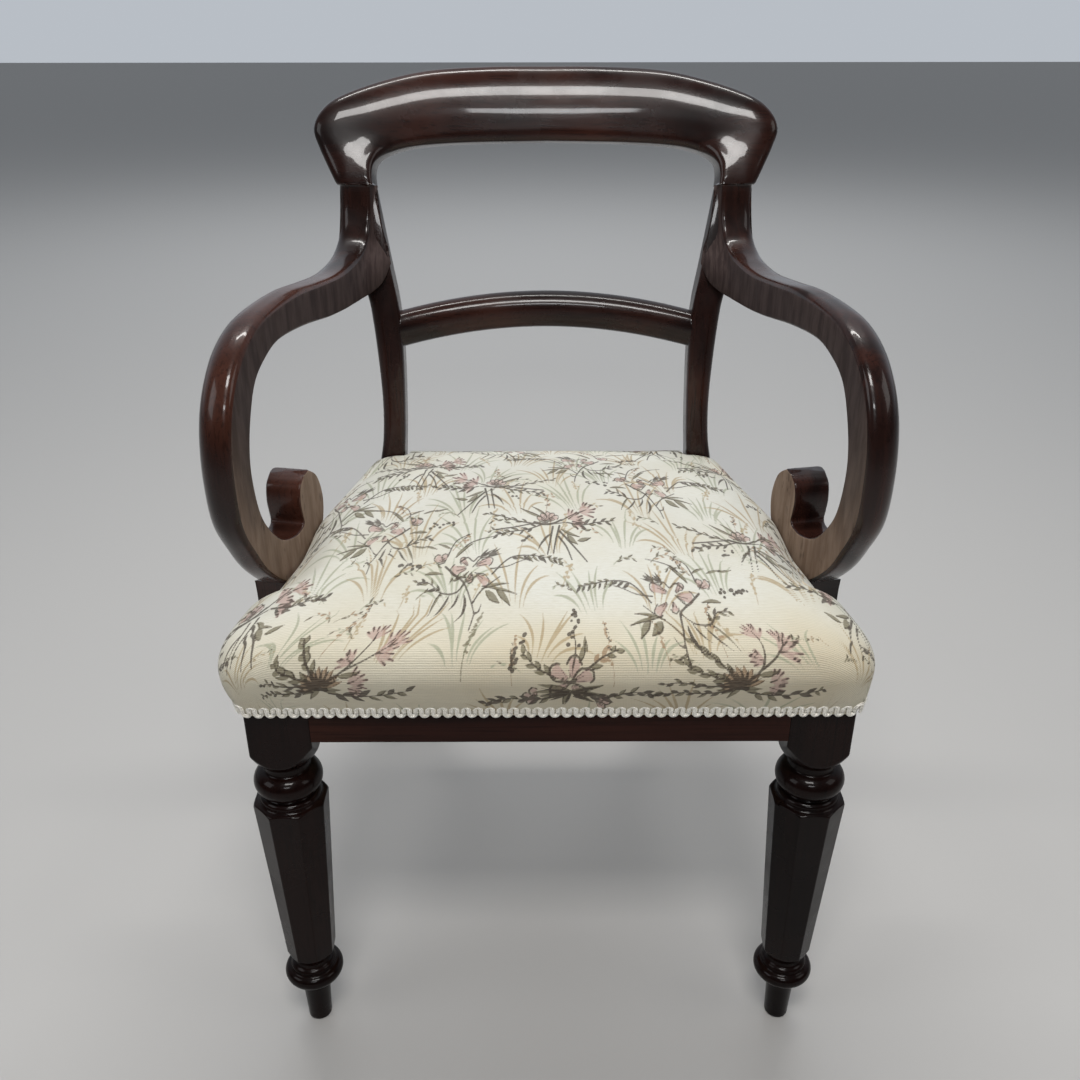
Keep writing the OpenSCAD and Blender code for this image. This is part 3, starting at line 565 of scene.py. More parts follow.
def box_section(x0, x1, y0, y1, radii, arc=6, fill=4):
    """A rectangle with a radius at each corner, from front left round to back left."""
    corners = [(x0, y0, 1, 1), (x1, y0, -1, 1), (x1, y1, -1, -1), (x0, y1, 1, -1)]
    start = [math.pi, 1.5 * math.pi, 0, .5 * math.pi]
    arcs = []
    for (cx, cy, sx, sy), a0, r in zip(corners, start, radii):
        a = a0 + np.linspace(0, math.pi / 2, arc)
        arcs.append(np.stack([cx + sx * r + r * np.cos(a), cy + sy * r + r * np.sin(a)], 1))
    return closed_outline(arcs, [fill] * 4)


def rear_legs():
    zs = np.unique(np.concatenate([np.linspace(0, 330, 34), np.linspace(330, 780, 76)]))
    rings = []
    for z in zs:
        x0, x1 = at_z(STILE_IN, z), at_z(STILE_OUT, z)
        y0, y1 = at_z(STILE_FRONT, z), at_z(STILE_BACK, z)
        up = float(ramp(z, 380, 500))
        free = 1 - float(ramp(z, 628, 655))
        front = 1.0 + 1.5 * (1 - up) * free + 7.0 * up * free
        back = 2.5 + 3.5 * up
        if z < 2:
            x0, x1, y0, y1 = x0 + 1, x1 - 1, y0 + 1, y1 - 1
        flat = box_section(x0, x1, y0, y1, (front, front, back, back))
        bulge = 1.2 * up * free * (1 - ((flat[:, 0] - (x0 + x1) / 2) / ((x1 - x0) / 2)) ** 2)
        y = flat[:, 1] - np.where(flat[:, 1] < (y0 + y1) / 2, bulge, -bulge * .6)
        rings.append(np.stack([flat[:, 0], y, np.full(len(flat), z)], 1))
    rings = keep_below_joint(np.array(rings))
    verts, faces = loft(rings)
    pair("rear_leg_piece", verts, faces, wood_z, "mahogany", "rear_leg")


# ---------------------------------------------------------------- front legs

def octagon(angle, half):
    """Distance to an octagon's sides, across the flats twice half."""
    return half / np.cos((angle + math.pi / 8) % (math.pi / 4) - math.pi / 8)


def soft_min(a, b, k):
    h = np.clip(.5 + .5 * (b - a) / k, 0, 1)
    return b * (1 - h) + a * h - k * h * (1 - h)


LEG_PROFILE = (
    [[0, 0], [10.3, 0], [11.4, .8]]
    + smooth([[11.6, 2], [12.5, 24], [14, 48], [16.2, 56]], 5).tolist()
    + [[17.5, 57], [20.5, 58.2]]
    + [[21.5 + 7 * math.cos(math.radians(a)), 66 + 7.6 * math.sin(math.radians(a))]
       for a in range(-74, 80, 11)]
    + [[20.6, 74], [21.6, 75.2], [21.6, 77.2], [19.5, 78.7]]
    + smooth([[17.4, 80], [17.2, 84], [18.5, 88.5], [21.5, 91.5]], 4).tolist())


def front_legs():
    count = 192
    angle = np.arange(count) * TAU / count
    spread = (63.5 - 44) / (283 - 94)
    envelope = np.array(
        [[18.4, 88.4]] + smooth([[21.5, 91.5], [25, 96], [30, 105], [34, 120]], 5).tolist()
        + [[40, 140], [40, 272.5], [37.6, 275.5], [36.2, 278.6], [35.4, 279.2], [34.9, 281.5],
           [33.4, 284.2], [30.5, 285.6], [28.4, 286.2]])
    rings = []

    def ring(radius, z):
        rings.append(np.stack([LEG_X + radius * np.cos(angle), radius * np.sin(angle),
                               np.full(count, z)], 1))

    for r, z in LEG_PROFILE[1:]:
        ring(r, z)
    zs = np.concatenate([np.arange(92.2, 124, 1.1), np.arange(125, 262, 4.5), np.arange(262, 286, .55)])
    for z in zs:
        half = 22 + spread * (z - 94) / 2
        env = np.interp(z, envelope[:, 1], envelope[:, 0])
        ring(soft_min(octagon(angle, half), env, .5), z)
    bulb = ([[27.2, 286.4], [27.6, 288], [27.4, 291], [24.5, 292.6]]
            + [[16.8 + 14 * math.cos(math.radians(a)), 307 + 13.6 * math.sin(math.radians(a))]
               for a in range(-76, 80, 9)]
            + smooth([[20.4, 321.5], [20, 325], [21, 329.5], [23.5, 332]], 4).tolist())
    for r, z in bulb:
        ring(r, z)
    # the square block, set in a little from the turned part's axis
    block_env = np.array([[24, 332.4]] + smooth([[25.5, 333], [28.5, 336], [32, 342], [37, 351],
                                                 [45, 364]], 5).tolist())
    for z in np.concatenate([np.arange(332.8, 372, .9), np.arange(374, 436, 8), [435]]):
        env = np.interp(z, block_env[:, 1], block_env[:, 0])
        c, s = np.cos(angle), np.sin(angle)
        sides = [np.where(v > 1e-6, d / np.maximum(v, 1e-6), 1e6)
                 for v, d in ((c, 23.5), (-c, 31.5), (s, 27.5), (-s, 27.5))]
        square = soft_min(soft_min(sides[0], sides[1], 1.5), soft_min(sides[2], sides[3], 1.5), 1.6)
        ring(soft_min(square, env, 1.2), z)
    verts, faces = loft(np.array(rings))
    pair("front_leg_piece", verts, faces, wood_leg_shaded, "mahogany", "front_leg")


# ---------------------------------------------------------------- crest rail and lower rail

CREST_UPPER = smooth([[0, 128], [60, 127.4], [127, 122], [180, 109], [223, 92], [243, 76],
                      [251, 58], [246, 39], [236, 17], [225, -5]], 8)
CREST_LOWER = smooth([[0, 49], [83, 47], [140, 42.5], [170, 35], [185, 25], [189, 12],
                      [187.5, -5]], 8)


def bow(x, most, half):
    return most * (1 - (x / half) ** 2)


def crest_rail():
    stations = 90
    upper, lower = resample(CREST_UPPER, stations), resample(CREST_LOWER, stations)
    rings = []
    for i in range(stations):
        u, l = upper[i], lower[i]
        height = np.linalg.norm(u - l)
        at = i / (stations - 1)
        near = float(ramp(at, .80, 1.0))
        top_drop = 20 * (1 - near) + 7 * near
        top_wide = min((.72 * (1 - near) + .34 * near) * height, 58)
        low_drop = 6.5 * (1 - near) + 3 * near
        low_wide = 13 * (1 - near) + 6 * near
        a = np.linspace(0, math.pi / 2, 13)
        front_v = np.concatenate([
            low_wide * (1 - np.cos(a)), np.linspace(low_wide, height - top_wide, 6)[1:-1],
            height - top_wide + top_wide * np.sin(np.linspace(0, math.pi / 2, 19))]) / height
        d_low = np.clip(1 - front_v * height / low_wide, 0, 1)
        d_top = np.clip(1 - (1 - front_v) * height / top_wide, 0, 1)
        front_y = low_drop * (1 - np.sqrt(1 - d_low ** 2)) + top_drop * (1 - np.sqrt(1 - d_top ** 2))
        back_r = 5 * (1 - near) + 3 * near
        b = np.linspace(0, math.pi / 2, 6)
        back_v = np.concatenate([
            1 - back_r * (1 - np.cos(b)) * .6 / height, np.linspace(.93, .07, 7),
            back_r * (1 - np.cos(b[::-1])) * .6 / height])
        back_in = np.concatenate([back_r * (1 - np.sin(b)), np.zeros(7), back_r * (1 - np.sin(b[::-1]))])

        def spot(v, offset, from_back):
            p = l + (u - l) * v[:, None]
            # flush with the stile and the arm at the joint
            low = ramp(p[:, 1], 60, 4) * ramp(p[:, 0], 165, 190)
            front = bow(p[:, 0], 35, 226) * (1 - low) - 3.2 * low
            back = (40 + bow(p[:, 0], 23, 226)) * (1 - low) + 42 * low
            y = back - offset if from_back else front + offset
            return crest_point(p[:, 0], y, np.maximum(p[:, 1], 0))

        rings.append(np.concatenate([spot(front_v, front_y, False), spot(back_v, back_in, True)]))
    right = np.array(rings)
    left = right[:0:-1].copy()
    left[..., 0] *= -1
    verts, faces = loft(np.concatenate([left, right]))
    build("crest_rail_piece", verts, faces, wood_x, "mahogany", ["crest_rail"])


def mid_rail():
    stations = np.linspace(-176, 176, 89)
    a, b = np.linspace(-1, 1, 21), np.linspace(1, -1, 13)
    roll = np.where(a > 0, 17 * (1 - np.sqrt(1 - np.abs(a) ** 2.1 * .995)),
                    7 * (1 - np.sqrt(1 - np.abs(a) ** 3 * .995)))
    rings = []
    for x in stations:
        lift = bow(x, 15, 163)
        back_off = bow(x, 30, 163)
        front = 411 + back_off + roll
        z = 585 + 39 * (a + 1) / 2 + lift
        back = 435 + back_off - 3.5 * np.abs(b) ** 8
        zb = 585 + 19.5 + 19.5 * b * .985 + lift
        rings.append(np.concatenate([np.stack([np.full(21, x), front, z], 1),
                                     np.stack([np.full(13, x), back, zb], 1)]))
    rings = np.array(rings)
    # the ends follow the inner edges of the stiles and sink 3 mm into them
    limit = np.interp(rings[..., 2], STILE_IN[:, 1], STILE_IN[:, 0]) + 3
    rings[..., 0] = np.clip(rings[..., 0], -limit, limit)
    verts, faces = loft(rings[np.abs(stations) < 170])
    build("mid_rail_piece", verts, faces, wood_x, "mahogany", ["mid_rail"])


# ---------------------------------------------------------------- arms

ARM_OUT = [[377, 766], [374, 735], [363, 710], [342, 696], [314, 689.5], [270, 686.5],
           [214, 690], [160, 694.5], [107, 693], [67, 687], [34.6, 671], [10, 646], [-5, 614],
           [-11, 574], [-8, 530], [11, 494], [33, 464], [70, 434], [105, 428], [140, 433],
           [163, 452], [171.5, 480], [162, 508], [142, 523]]
ARM_IN = [[400, 766], [397, 735], [390, 705], [372, 678], [348, 653], [300, 648],
          [240, 651], [170, 659], [112, 661], [78, 652.5], [53, 637.5], [36, 609], [27, 580],
          [27, 553], [34, 523], [50, 499.5], [70, 482], [95, 473], [112, 472.5], [119.5, 476],
          [117.5, 486], [115.5, 499], [119, 514], [130, 521.5]]
ARM_ANGLE = math.radians(10.8)


def keyed(i, keys):
    return float(np.interp(i, list(keys), list(keys.values())))


def arm_section(width, t, radii, crown):
    """Closed outline in s (outer to inner edge) and x (inner to outer face)."""
    ra, rb, rc, rd = radii

    ra, rb, rc = ((min(r, width * .46), min(r, t * .46)) for r in (ra, rb, rc))
    rd = (min(rd[0], width * .5), min(rd[1], t * .66))

    def arc_of(cs, cx, ss, sx, r, start, count):
        a = start + np.linspace(0, math.pi / 2, count)
        return np.stack([cs + ss * r[0] + r[0] * np.cos(a), cx + sx * r[1] + r[1] * np.sin(a)], 1)

    parts = [arc_of(0, 0, 1, 1, ra, math.pi, 7), arc_of(width, 0, -1, 1, rb, 1.5 * math.pi, 7),
             arc_of(width, t, -1, -1, rc, 0, 7), arc_of(0, t, 1, -1, rd, .5 * math.pi, 15)]
    out = closed_outline(parts, (6, 4, 4, 5))
    on_front = np.clip(1 - out[:, 0] / (rd[0] + .1), 0, 1)
    out[:, 0] -= crown * on_front * (1 - (2 * out[:, 1] / t - 1) ** 2)
    return out


def arms():
    steps = 6
    outer, inner = smooth(ARM_OUT, steps), smooth(ARM_IN, steps)
    rings, wear_and_glow_amounts, flats = [], [], []
    for n in range(len(outer)):
        i = n / steps
        o, q = outer[n], inner[n]
        width = np.linalg.norm(q - o)
        rd = keyed(i, {0: 11, 2: 12, 4: 14, 7: 17, 10: 20, 12: 23, 15: 23, 17: 18, 18: 11, 20: 5, 23: 4})
        rd_x = keyed(i, {0: 11, 2: 13, 4: 16, 7: 20, 10: 22, 12: 23, 15: 22, 17: 17, 18: 10, 20: 5, 23: 4})
        ra = keyed(i, {0: 3, 3: 5, 7: 7, 11: 7, 14: 6, 17: 3.5, 19: 2.6, 23: 2.6})
        rb = keyed(i, {0: .6, 4: .8, 5.5: 3, 8: 4, 14: 3, 18: 2.2, 23: 2.2})
        rc = keyed(i, {0: 3, 5: 7, 10: 8, 15: 7, 18: 3.5, 23: 3})
        crown = keyed(i, {0: 0, 3: .6, 10: 1.6, 16: 1.4, 18: .3, 23: 0})
        thick = keyed(i, {0: 37, 3: 37, 7: 35.2, 16: 34.8, 19: 36.5, 23: 36.5})
        s, x = arm_section(width, thick, (ra, rb, rc, (rd, rd_x)), crown).T
        share = s / width
        p = o + (q - o) * share[:, None]
        on_face = x < .35
        flare = np.interp(q[0], [300, 330, 348, 360, 372, 385, 392, 400],
                          [0, 2, 8, 16, 21, 16, 10, 2]) if i < 6 else 0.0
        x = x - flare * ramp(share, .12, 1.0) * np.clip(1.25 - x / 37, 0, 1)
        px = 262 + x * math.cos(ARM_ANGLE) - p[:, 0] * math.sin(ARM_ANGLE)
        py = 60 + x * math.sin(ARM_ANGLE) + p[:, 0] * math.cos(ARM_ANGLE)
        ring = np.stack([px, py, p[:, 1]], 1)
        if i < 6:
            ring[:, 1] = np.minimum(ring[:, 1], at_z(STILE_FRONT, ring[:, 2]) + 1.2)
        rings.append(ring)
        flats.append(on_face)
        # how pale each station's inner face is: real wear, plus painted light from the seat growing towards
        # the scroll
        wear_and_glow_amounts.append(np.full(len(x), keyed(i, {0: .12, 8: .08, 11: .16, 13: .42, 15: .72, 18: 1, 23: 1})))
    rings = keep_below_joint(np.array(rings))
    verts, faces = loft(rings)
    flat = np.concatenate(flats + [np.zeros(2, bool)])
    faces = [tuple(reversed(f)) for f in faces]
    pair("arm_piece", verts, faces, wood_arm, "mahogany", "arm",
         attributes={"wear_and_seat_glow": np.concatenate(wear_and_glow_amounts + [np.zeros(2)])},
         second=(arm_face, [all(flat[i] for i in f) for f in faces]))


# ---------------------------------------------------------------- seat cover

# side growth, front growth, height and corner radius of the seat's outline, from the hem up
LEVELS = np.array([[2.4, 3, 395, 12], [6, 6.5, 405, 16], [10, 11, 417, 22], [12.5, 14.8, 430, 28],
                   [13.3, 17.5, 441, 34], [10, 14, 451, 38], [2, 7, 460, 40], [-11, -8, 467.5, 44],
                   [-29, -28, 473.5, 48], [-56, -56, 478.5, 50], [-92, -92, 482.5, 50],
                   [-135, -135, 485.3, 40]])
BLOCK_SIDE = 55
FRONT_HALF, REAR_HALF, RAIL_BACK = 260, 200, 435
APEX = np.array([0, 202.5])
STILE_FACE, STILE_SIDE = 393.6, 162.0     # where the cloth stops in front of and between the stiles
EDGE = 8      # the level where the top turns into the sides


def outline(side, front, radius, dense=24):
    """The seat's rounded outline in plan, in four parts split at the middle of each corner."""
    corners = np.array([[FRONT_HALF + side, -BLOCK_SIDE / 2 - front],
                        [REAR_HALF + side * .45, RAIL_BACK + side],
                        [-REAR_HALF - side * .45, RAIL_BACK + side],
                        [-FRONT_HALF - side, -BLOCK_SIDE / 2 - front]])
    inward = np.array([[-1, 1], [-1, -1], [1, -1], [1, 1]])
    pieces = []
    for c in range(4):
        a = -math.pi / 2 + c * math.pi / 2 + np.linspace(0, math.pi / 2, 2 * dense + 1)
        pieces.append(corners[c] + radius * inward[c] + radius * np.stack([np.cos(a), np.sin(a)], 1))
    out = []
    for c in range(4):
        a, b = pieces[(c - 1) % 4][dense:], pieces[c][:dense + 1]
        out.append(np.concatenate([a, b]))
    return out    # front, right, back, left: each runs from one corner's middle to the next


def seat_grid(count):
    """Points of the seat's surface and their place on the flat cloth, on a square grid of rings."""
    half = count // 2
    fine = smooth(LEVELS, 12)
    plan = [outline(l[0], l[1], l[3]) for l in fine]
    front_run = np.stack([-fine[:, 1], fine[:, 2]], 1)
    run = lengths(front_run)
    to_centre = 200.0
    total = run[-1] + to_centre
    edge_run = run[EDGE * 12]
    grid = np.zeros((count + 1, count + 1, 3))
    cloth = np.zeros((count + 1, count + 1, 2))

    for ring in range(half, 0, -1):
        r = ring / half
        distance = (1 - r) * total
        points = 2 * ring
        loop, height, offset = [], 0.0, 0.0
        if distance <= run[-1]:
            k = np.interp(distance, run, np.arange(len(run)))
            lo = min(int(k), len(run) - 2)
            t = k - lo
            for part in range(4):
                a, b = (resample(plan[k][part], points + 1) for k in (lo, lo + 1))
                loop.append(a + (b - a) * t)
            height = fine[lo, 2] + (fine[lo + 1, 2] - fine[lo, 2]) * t
            offset = max(edge_run - distance, 0)
        else:
            scale = 1 - (distance - run[-1]) / to_centre
            for part in range(4):
                last = resample(plan[-1][part], points + 1)
                loop.append(APEX + (last - APEX) * scale)
            height = 485.3 + 2.6 * (1 - scale ** 2)
        lo_i, hi_i = half - ring, half + ring
        up, same = np.arange(lo_i, hi_i + 1), np.ones(points + 1, int)
        spots = ((lo_i * same, up), (up, hi_i * same), (hi_i * same, up[::-1]), (up[::-1], lo_i * same))
        for part, (rows, cols) in enumerate(spots):
            path = loop[part]
            fall = 24 * (np.maximum(0, path[:, 1] - 150) / 290) ** 1.6 \
                * (max(0, height - 435) / 52) ** .8
            grid[rows, cols, :2] = path
            grid[rows, cols, 2] = height - fall
            if offset > 0:
                edge_path = resample(plan[EDGE * 12][part], points + 1)
                cloth[rows, cols] = edge_path + outward(edge_path) * offset
            else:
                cloth[rows, cols] = path
    grid[half, half] = [APEX[0], APEX[1], 487.9]
    cloth[half, half] = APEX
    return grid, cloth


def blur(field, times, hold=None):
    """Evens out a grid of points, leaving its edge alone."""
    for _ in range(times):
        inner = (field[:-2, 1:-1] + field[2:, 1:-1] + field[1:-1, :-2] + field[1:-1, 2:]) / 4
        if hold is None:
            field[1:-1, 1:-1] = inner
        else:
            field[1:-1, 1:-1] += (inner - field[1:-1, 1:-1]) * hold[1:-1, 1:-1, None]
    return field


def press_posts(p):
    """Pulls the cloth in where the arm supports and the stiles stand."""
    x, y, z = p[..., 0], p[..., 1], p[..., 2]
    side = np.sign(x) + (x == 0)
    ax = np.abs(x)
    # the arm support: its inner face lies at 262 mm on the arm's own line
    u = (y - 60) / math.cos(ARM_ANGLE)
    inner = 262 - u * math.sin(ARM_ANGLE) - 1.0
    near = ramp(u, 50, 66) * ramp(u, 190, 168)
    over = np.maximum(ax - inner, 0)
    ax = ax - over * near
    z = z - 16 * ramp(y, 38, 84) * ramp(y, 218, 150) * ramp(ax, 196, 244) * ramp(z, 415, 445)
    drop = 9 * ramp(y, 290, 400) * ramp(ax, 90, 185) * ramp(z, 425, 450)
    z = np.maximum(z - drop, np.minimum(z, 460))
    # the pad bulges on the viewer's left at its front and lies further in on the right
    bulge = ramp(z, 398, 428) * ramp(z, 480, 458) * ramp(y, 150, 10)
    ax = ax + bulge * np.where(x < 0, 2.8, -2.6)
    # the stile: forward of its front face, or inside its inner face
    dx, dy = ax - STILE_SIDE, y - STILE_FACE
    inside = (dx > 0) & (dy > 0) & (ax < 232)
    forward = inside & (dy < dx * 1.15)
    inward = inside & ~forward
    y = np.where(forward, STILE_FACE, y)
    ax = np.where(inward, STILE_SIDE, ax)
    return np.stack([side * ax, y, z], -1)


def swell(grid, most=1.5):
    """Moves the cloth out from the stuffing, except at its hem."""
    out = np.cross(np.gradient(grid, axis=1), np.gradient(grid, axis=0))
    out /= np.linalg.norm(out, axis=-1, keepdims=True) + 1e-9
    middle = grid.shape[0] // 2
    out *= np.sign(out[middle, middle, 2])
    return grid + out * most * ramp(grid[..., 2], 396, 408)[..., None]


def simulate_cover(coarse):
    """Cloth under pressure with its hem held; returns how far each coarse point moves."""
    n = coarse.shape[0]
    verts = to_row(coarse.reshape(-1, 3))
    index = np.arange(n * n).reshape(n, n)
    quads = grid_faces(n)
    # the solver gives up on points that coincide, so they are welded for it
    _, first, weld = np.unique(np.round(verts / .002).astype(int), axis=0,
                               return_index=True, return_inverse=True)
    weld = weld.reshape(-1)
    faces = [list(dict.fromkeys(weld[q].tolist())) for q in quads]
    mesh = bpy.data.meshes.new("cover_sim")
    mesh.from_pydata(verts[first].tolist(), [], [f for f in faces if len(f) > 2])
    obj = bpy.data.objects.new("cover_sim", mesh)
    bpy.context.scene.collection.objects.link(obj)
    pins = obj.vertex_groups.new(name="pins")
    low = coarse[..., 2] < 424
    x, y = np.abs(coarse[..., 0]), coarse[..., 1]
    posts = ((y > 386) & (x > 150)) | ((np.abs(y - 160) < 62) & (x > 205))
    edge = np.zeros((n, n), bool)
    edge[[0, -1], :] = edge[:, [0, -1]] = True
    held = np.unique(weld[index[low | posts | edge].ravel()])
    pins.add(held.tolist(), 1.0, "REPLACE")
    cloth = obj.modifiers.new("cloth", "CLOTH")
    cloth.settings.vertex_group_mass = "pins"
    cloth.settings.quality = 6
    cloth.settings.mass = .25
    cloth.settings.tension_stiffness = cloth.settings.compression_stiffness = 25
    cloth.settings.shear_stiffness = 8
    cloth.settings.bending_stiffness = 2
    cloth.settings.use_pressure = True
    cloth.settings.uniform_pressure_force = 1.2
    cloth.settings.effector_weights.gravity = 0
    cloth.settings.time_scale = .7
    cloth.collision_settings.use_collision = False
    scene = bpy.context.scene
    for f in range(1, 21):
        scene.frame_set(f)
    result = obj.evaluated_get(bpy.context.evaluated_depsgraph_get()).to_mesh()
    moved = np.empty(len(first) * 3, np.float32)
    result.vertices.foreach_get("co", moved)
    shift = (moved.reshape(-1, 3) - verts[first])[weld].reshape(n, n, 3) * 1000
    far = np.linalg.norm(shift, axis=-1, keepdims=True)
    shift *= np.minimum(1, 4.0 / np.maximum(far, 1e-6))
    bpy.data.objects.remove(obj, do_unlink=True)
    scene.frame_set(1)
    return np.nan_to_num(shift)


def enlarge(field, count):
    """Bilinear values of a coarse grid on a finer one."""
    n = field.shape[0]
    t = np.linspace(0, n - 1, count + 1)
    lo = np.minimum(t.astype(int), n - 2)
    w = (t - lo)[:, None]
    rows = field[lo] * (1 - w[..., None]) + field[lo + 1] * w[..., None]
    cols = rows[:, lo] * (1 - w[None]) + rows[:, lo + 1] * w[None]
    return cols


class Weaver:
    """Distance fields of drawn strokes. place() sets the spot, size and height of the next drawing."""

    CHANNELS = ("dark", "pink", "olive", "stalk", "sage", "tan")

    def __init__(self, points):
        self.points = points
        self.fields = {c: np.full(len(points), 4.0, np.float32) for c in self.CHANNELS}
        self.order = np.argsort(points[:, 1])
        self.sorted_y = points[self.order, 1]
        self.rng = np.random.default_rng(11)
        self.bold = 1.05
        self.place(0, 0)

    def place(self, x, y, wide=1.0, tall=1.0):
        self.origin, self.scale = np.array([x, y], float), np.array([wide, tall], float)

    def stroke(self, channel, path, widths):
        path = np.asarray(path, float)
        widths = np.broadcast_to(np.asarray(widths, float), (len(path),))
        reach = 2.5 + widths.max()
        box = self.origin + self.scale * np.stack([path.min(0) - reach, path.max(0) + reach])
        low, high = box.min(0), box.max(0)
        a, b = np.searchsorted(self.sorted_y, [low[1], high[1]])
        idx = self.order[a:b]
        x = self.points[idx, 0]
        idx = idx[(x > low[0]) & (x < high[0])]
        if not len(idx):
            return
        p = (self.points[idx] - self.origin) / self.scale
        best = np.full(len(idx), 9.0)
        for a, b, wa, wb in zip(path[:-1], path[1:], widths[:-1], widths[1:]):
            d = b - a
            t = np.clip(((p - a) @ d) / max(d @ d, 1e-9), 0, 1)
            gap = np.linalg.norm(p - a - t[:, None] * d, axis=1) - (wa + (wb - wa) * t)
            best = np.minimum(best, gap)
        field = self.fields[channel]
        field[idx] = np.minimum(field[idx], best)

    def curve(self, start, degrees, length, bend=0.0, points=6):
        """Points of an arc that leaves start at an angle and turns by bend over its length."""
        t = np.linspace(0, 1, points)
        a = np.radians(degrees + bend * t)
        d = np.stack([np.cos(a), np.sin(a)], 1)[:-1] * length / (points - 1)
        return np.concatenate([[start], np.asarray(start) + np.cumsum(d, 0)])

    def line(self, *points, width=.75, channel="dark"):
        """A stem through the points, thinner towards its end."""
        path = smooth(points, 3) if len(points) > 2 else np.array(points, float)
        self.stroke(channel, path, self.bold * np.linspace(width, width * .6, len(path)))
        return path

    def leaf(self, start, degrees, length, width, bend=0.0, channel="olive", rim=True):
        """A leaf with its lower edge drawn in dark."""
        path = self.curve(start, degrees, length, bend)
        width = width * self.bold
        self.stroke(channel, path, width * np.array([.25, .8, 1, .85, .5, .15]))
        if rim:
            a = math.radians(degrees - 90)
            shift = np.array([math.cos(a), math.sin(a)]) * width * .75
            self.stroke("dark", path + shift * np.array([[.1], [.7], [1], [.8], [.4], [0]]), .45)
        return path

    def leaves(self, *rows):
        for x, y, *rest in rows:
            self.leaf((x, y), *rest)

    def fan(self, start, degrees, spread, count, length, width):
        """Dark blades that leave one spot side by side."""
        for k in np.linspace(-1, 1, count):
            turn = self.rng.uniform(-4, 4)
            size = length * self.rng.uniform(.78, 1.08) * (1 - .15 * abs(k))
            self.leaf(start, degrees + k * spread + turn, size, width, 0.0, "dark", False)

    def spray(self, path, size=8.0, every=5.0, turn=38, width=1.15, one_side=0, channel="dark"):
        """Small leaves along a stem, on both sides or on one."""
        run = lengths(path)
        s, k = every, 0
        while s < run[-1] + 1:
            at = [np.interp(s, run, path[:, i]) for i in (0, 1)]
            ahead = [np.interp(min(s + 1, run[-1]), run, path[:, i]) - np.interp(s - 1, run, path[:, i])
                     for i in (0, 1)]
            heading = math.degrees(math.atan2(ahead[1], ahead[0]))
            side = one_side or (1 if k % 2 else -1)
            pick = channel if self.rng.random() < .62 else "olive"
            self.leaf(at, heading + side * turn * self.rng.uniform(.7, 1.3),
                      size * self.rng.uniform(.75, 1.15) * (1 - .3 * s / run[-1]),
                      width * self.rng.uniform(.8, 1.15), -side * 18, pick, pick == "olive")
            s += every * self.rng.uniform(.75, 1.2)
            k += 1

    def dots(self, path, wide=3.0, size=1.25, channel="dark"):
        """Berries to both sides of a line."""
        run = lengths(np.asarray(path, float))
        path = np.asarray(path, float)
        for s in np.arange(0, run[-1], 4.4):
            at = np.array([np.interp(s, run, path[:, i]) for i in (0, 1)])
            for _ in range(2):
                q = at + self.rng.uniform(-wide, wide, 2) * (1 - .5 * s / run[-1])
                self.stroke(channel, [q, q + [.4, .2]], size * self.rng.uniform(.7, 1.15))

    def petal(self, centre, degrees, length, width, rim=.6):
        """A pink petal with a dark outline and a vein."""
        base = np.asarray(centre, float)
        a = math.radians(degrees)
        d, side = np.array([math.cos(a), math.sin(a)]), np.array([-math.sin(a), math.cos(a)])
        for k in (-1, 0, 1):
            start = base + d * length * .25 + side * k * width * .2
            self.stroke("pink", [start, base + d * (length - width * .5) + side * k * width * .5],
                        [width * .18, width * .26])
        edge = [base + d * length * far + side * width * off for far, off in
                ((0, 0), (.45, .9), (.85, .7), (1, 0), (.85, -.7), (.45, -.9), (0, 0))]
        cut = int(self.rng.integers(0, 2))
        rough = smooth(edge, 3) + self.rng.uniform(-.45, .45, (len(edge) * 3 - 2, 2))
        self.stroke("dark", rough[cut * 4:-5], rim)
        for k in (-.5, .15, .6):
            self.stroke("dark", [base + d * length * .15 + side * k * width * .3,
                                 base + d * length * self.rng.uniform(.4, .7) + side * k * width], .42)

    def tuft(self, start, degrees, size):
        """A fan-shaped pink bloom with dark tips."""
        for k in np.linspace(-46, 46, 6):
            path = self.curve(start, degrees + k + self.rng.uniform(-5, 5), size * self.rng.uniform(.8, 1.1))
            self.stroke("pink", path, [.5, .9, 1.3, 1.5, 1.5, 1.0])
            self.stroke("dark", path[-3:], [.3, .7, .8])
        self.line(start, self.curve(start, degrees, size * .5)[-1], width=.7)

    def plume(self, start, degrees, length, bend=0.0, channel="stalk"):
        """An upright spike of paired seeds."""
        path = self.curve(start, degrees, length, bend, 9)
        self.stroke(channel, path, .45)
        self.dots(path[3:], 3.4, 1.15, channel)
        self.dots(path[4:], 2.72, .8, "dark" if channel == "stalk" else channel)

    def grass(self, start, degrees, size, channel, blades, spread):
        """Thin blades that bend away from the middle one."""
        for k in np.linspace(-1, 1, blades):
            k += self.rng.uniform(-.12, .12)
            n = size * self.rng.uniform(.6, 1.1) * (1 - .25 * abs(k))
            base = np.asarray(start) + [k * 9.0, self.rng.uniform(0, 7)]
            path = self.curve(base, degrees - k * spread * .3, n, -k * spread * 1.25, 9)
            self.stroke(channel, path, [.3, .5, .8, 1.1, 1.2, 1.1, .85, .6, .3])


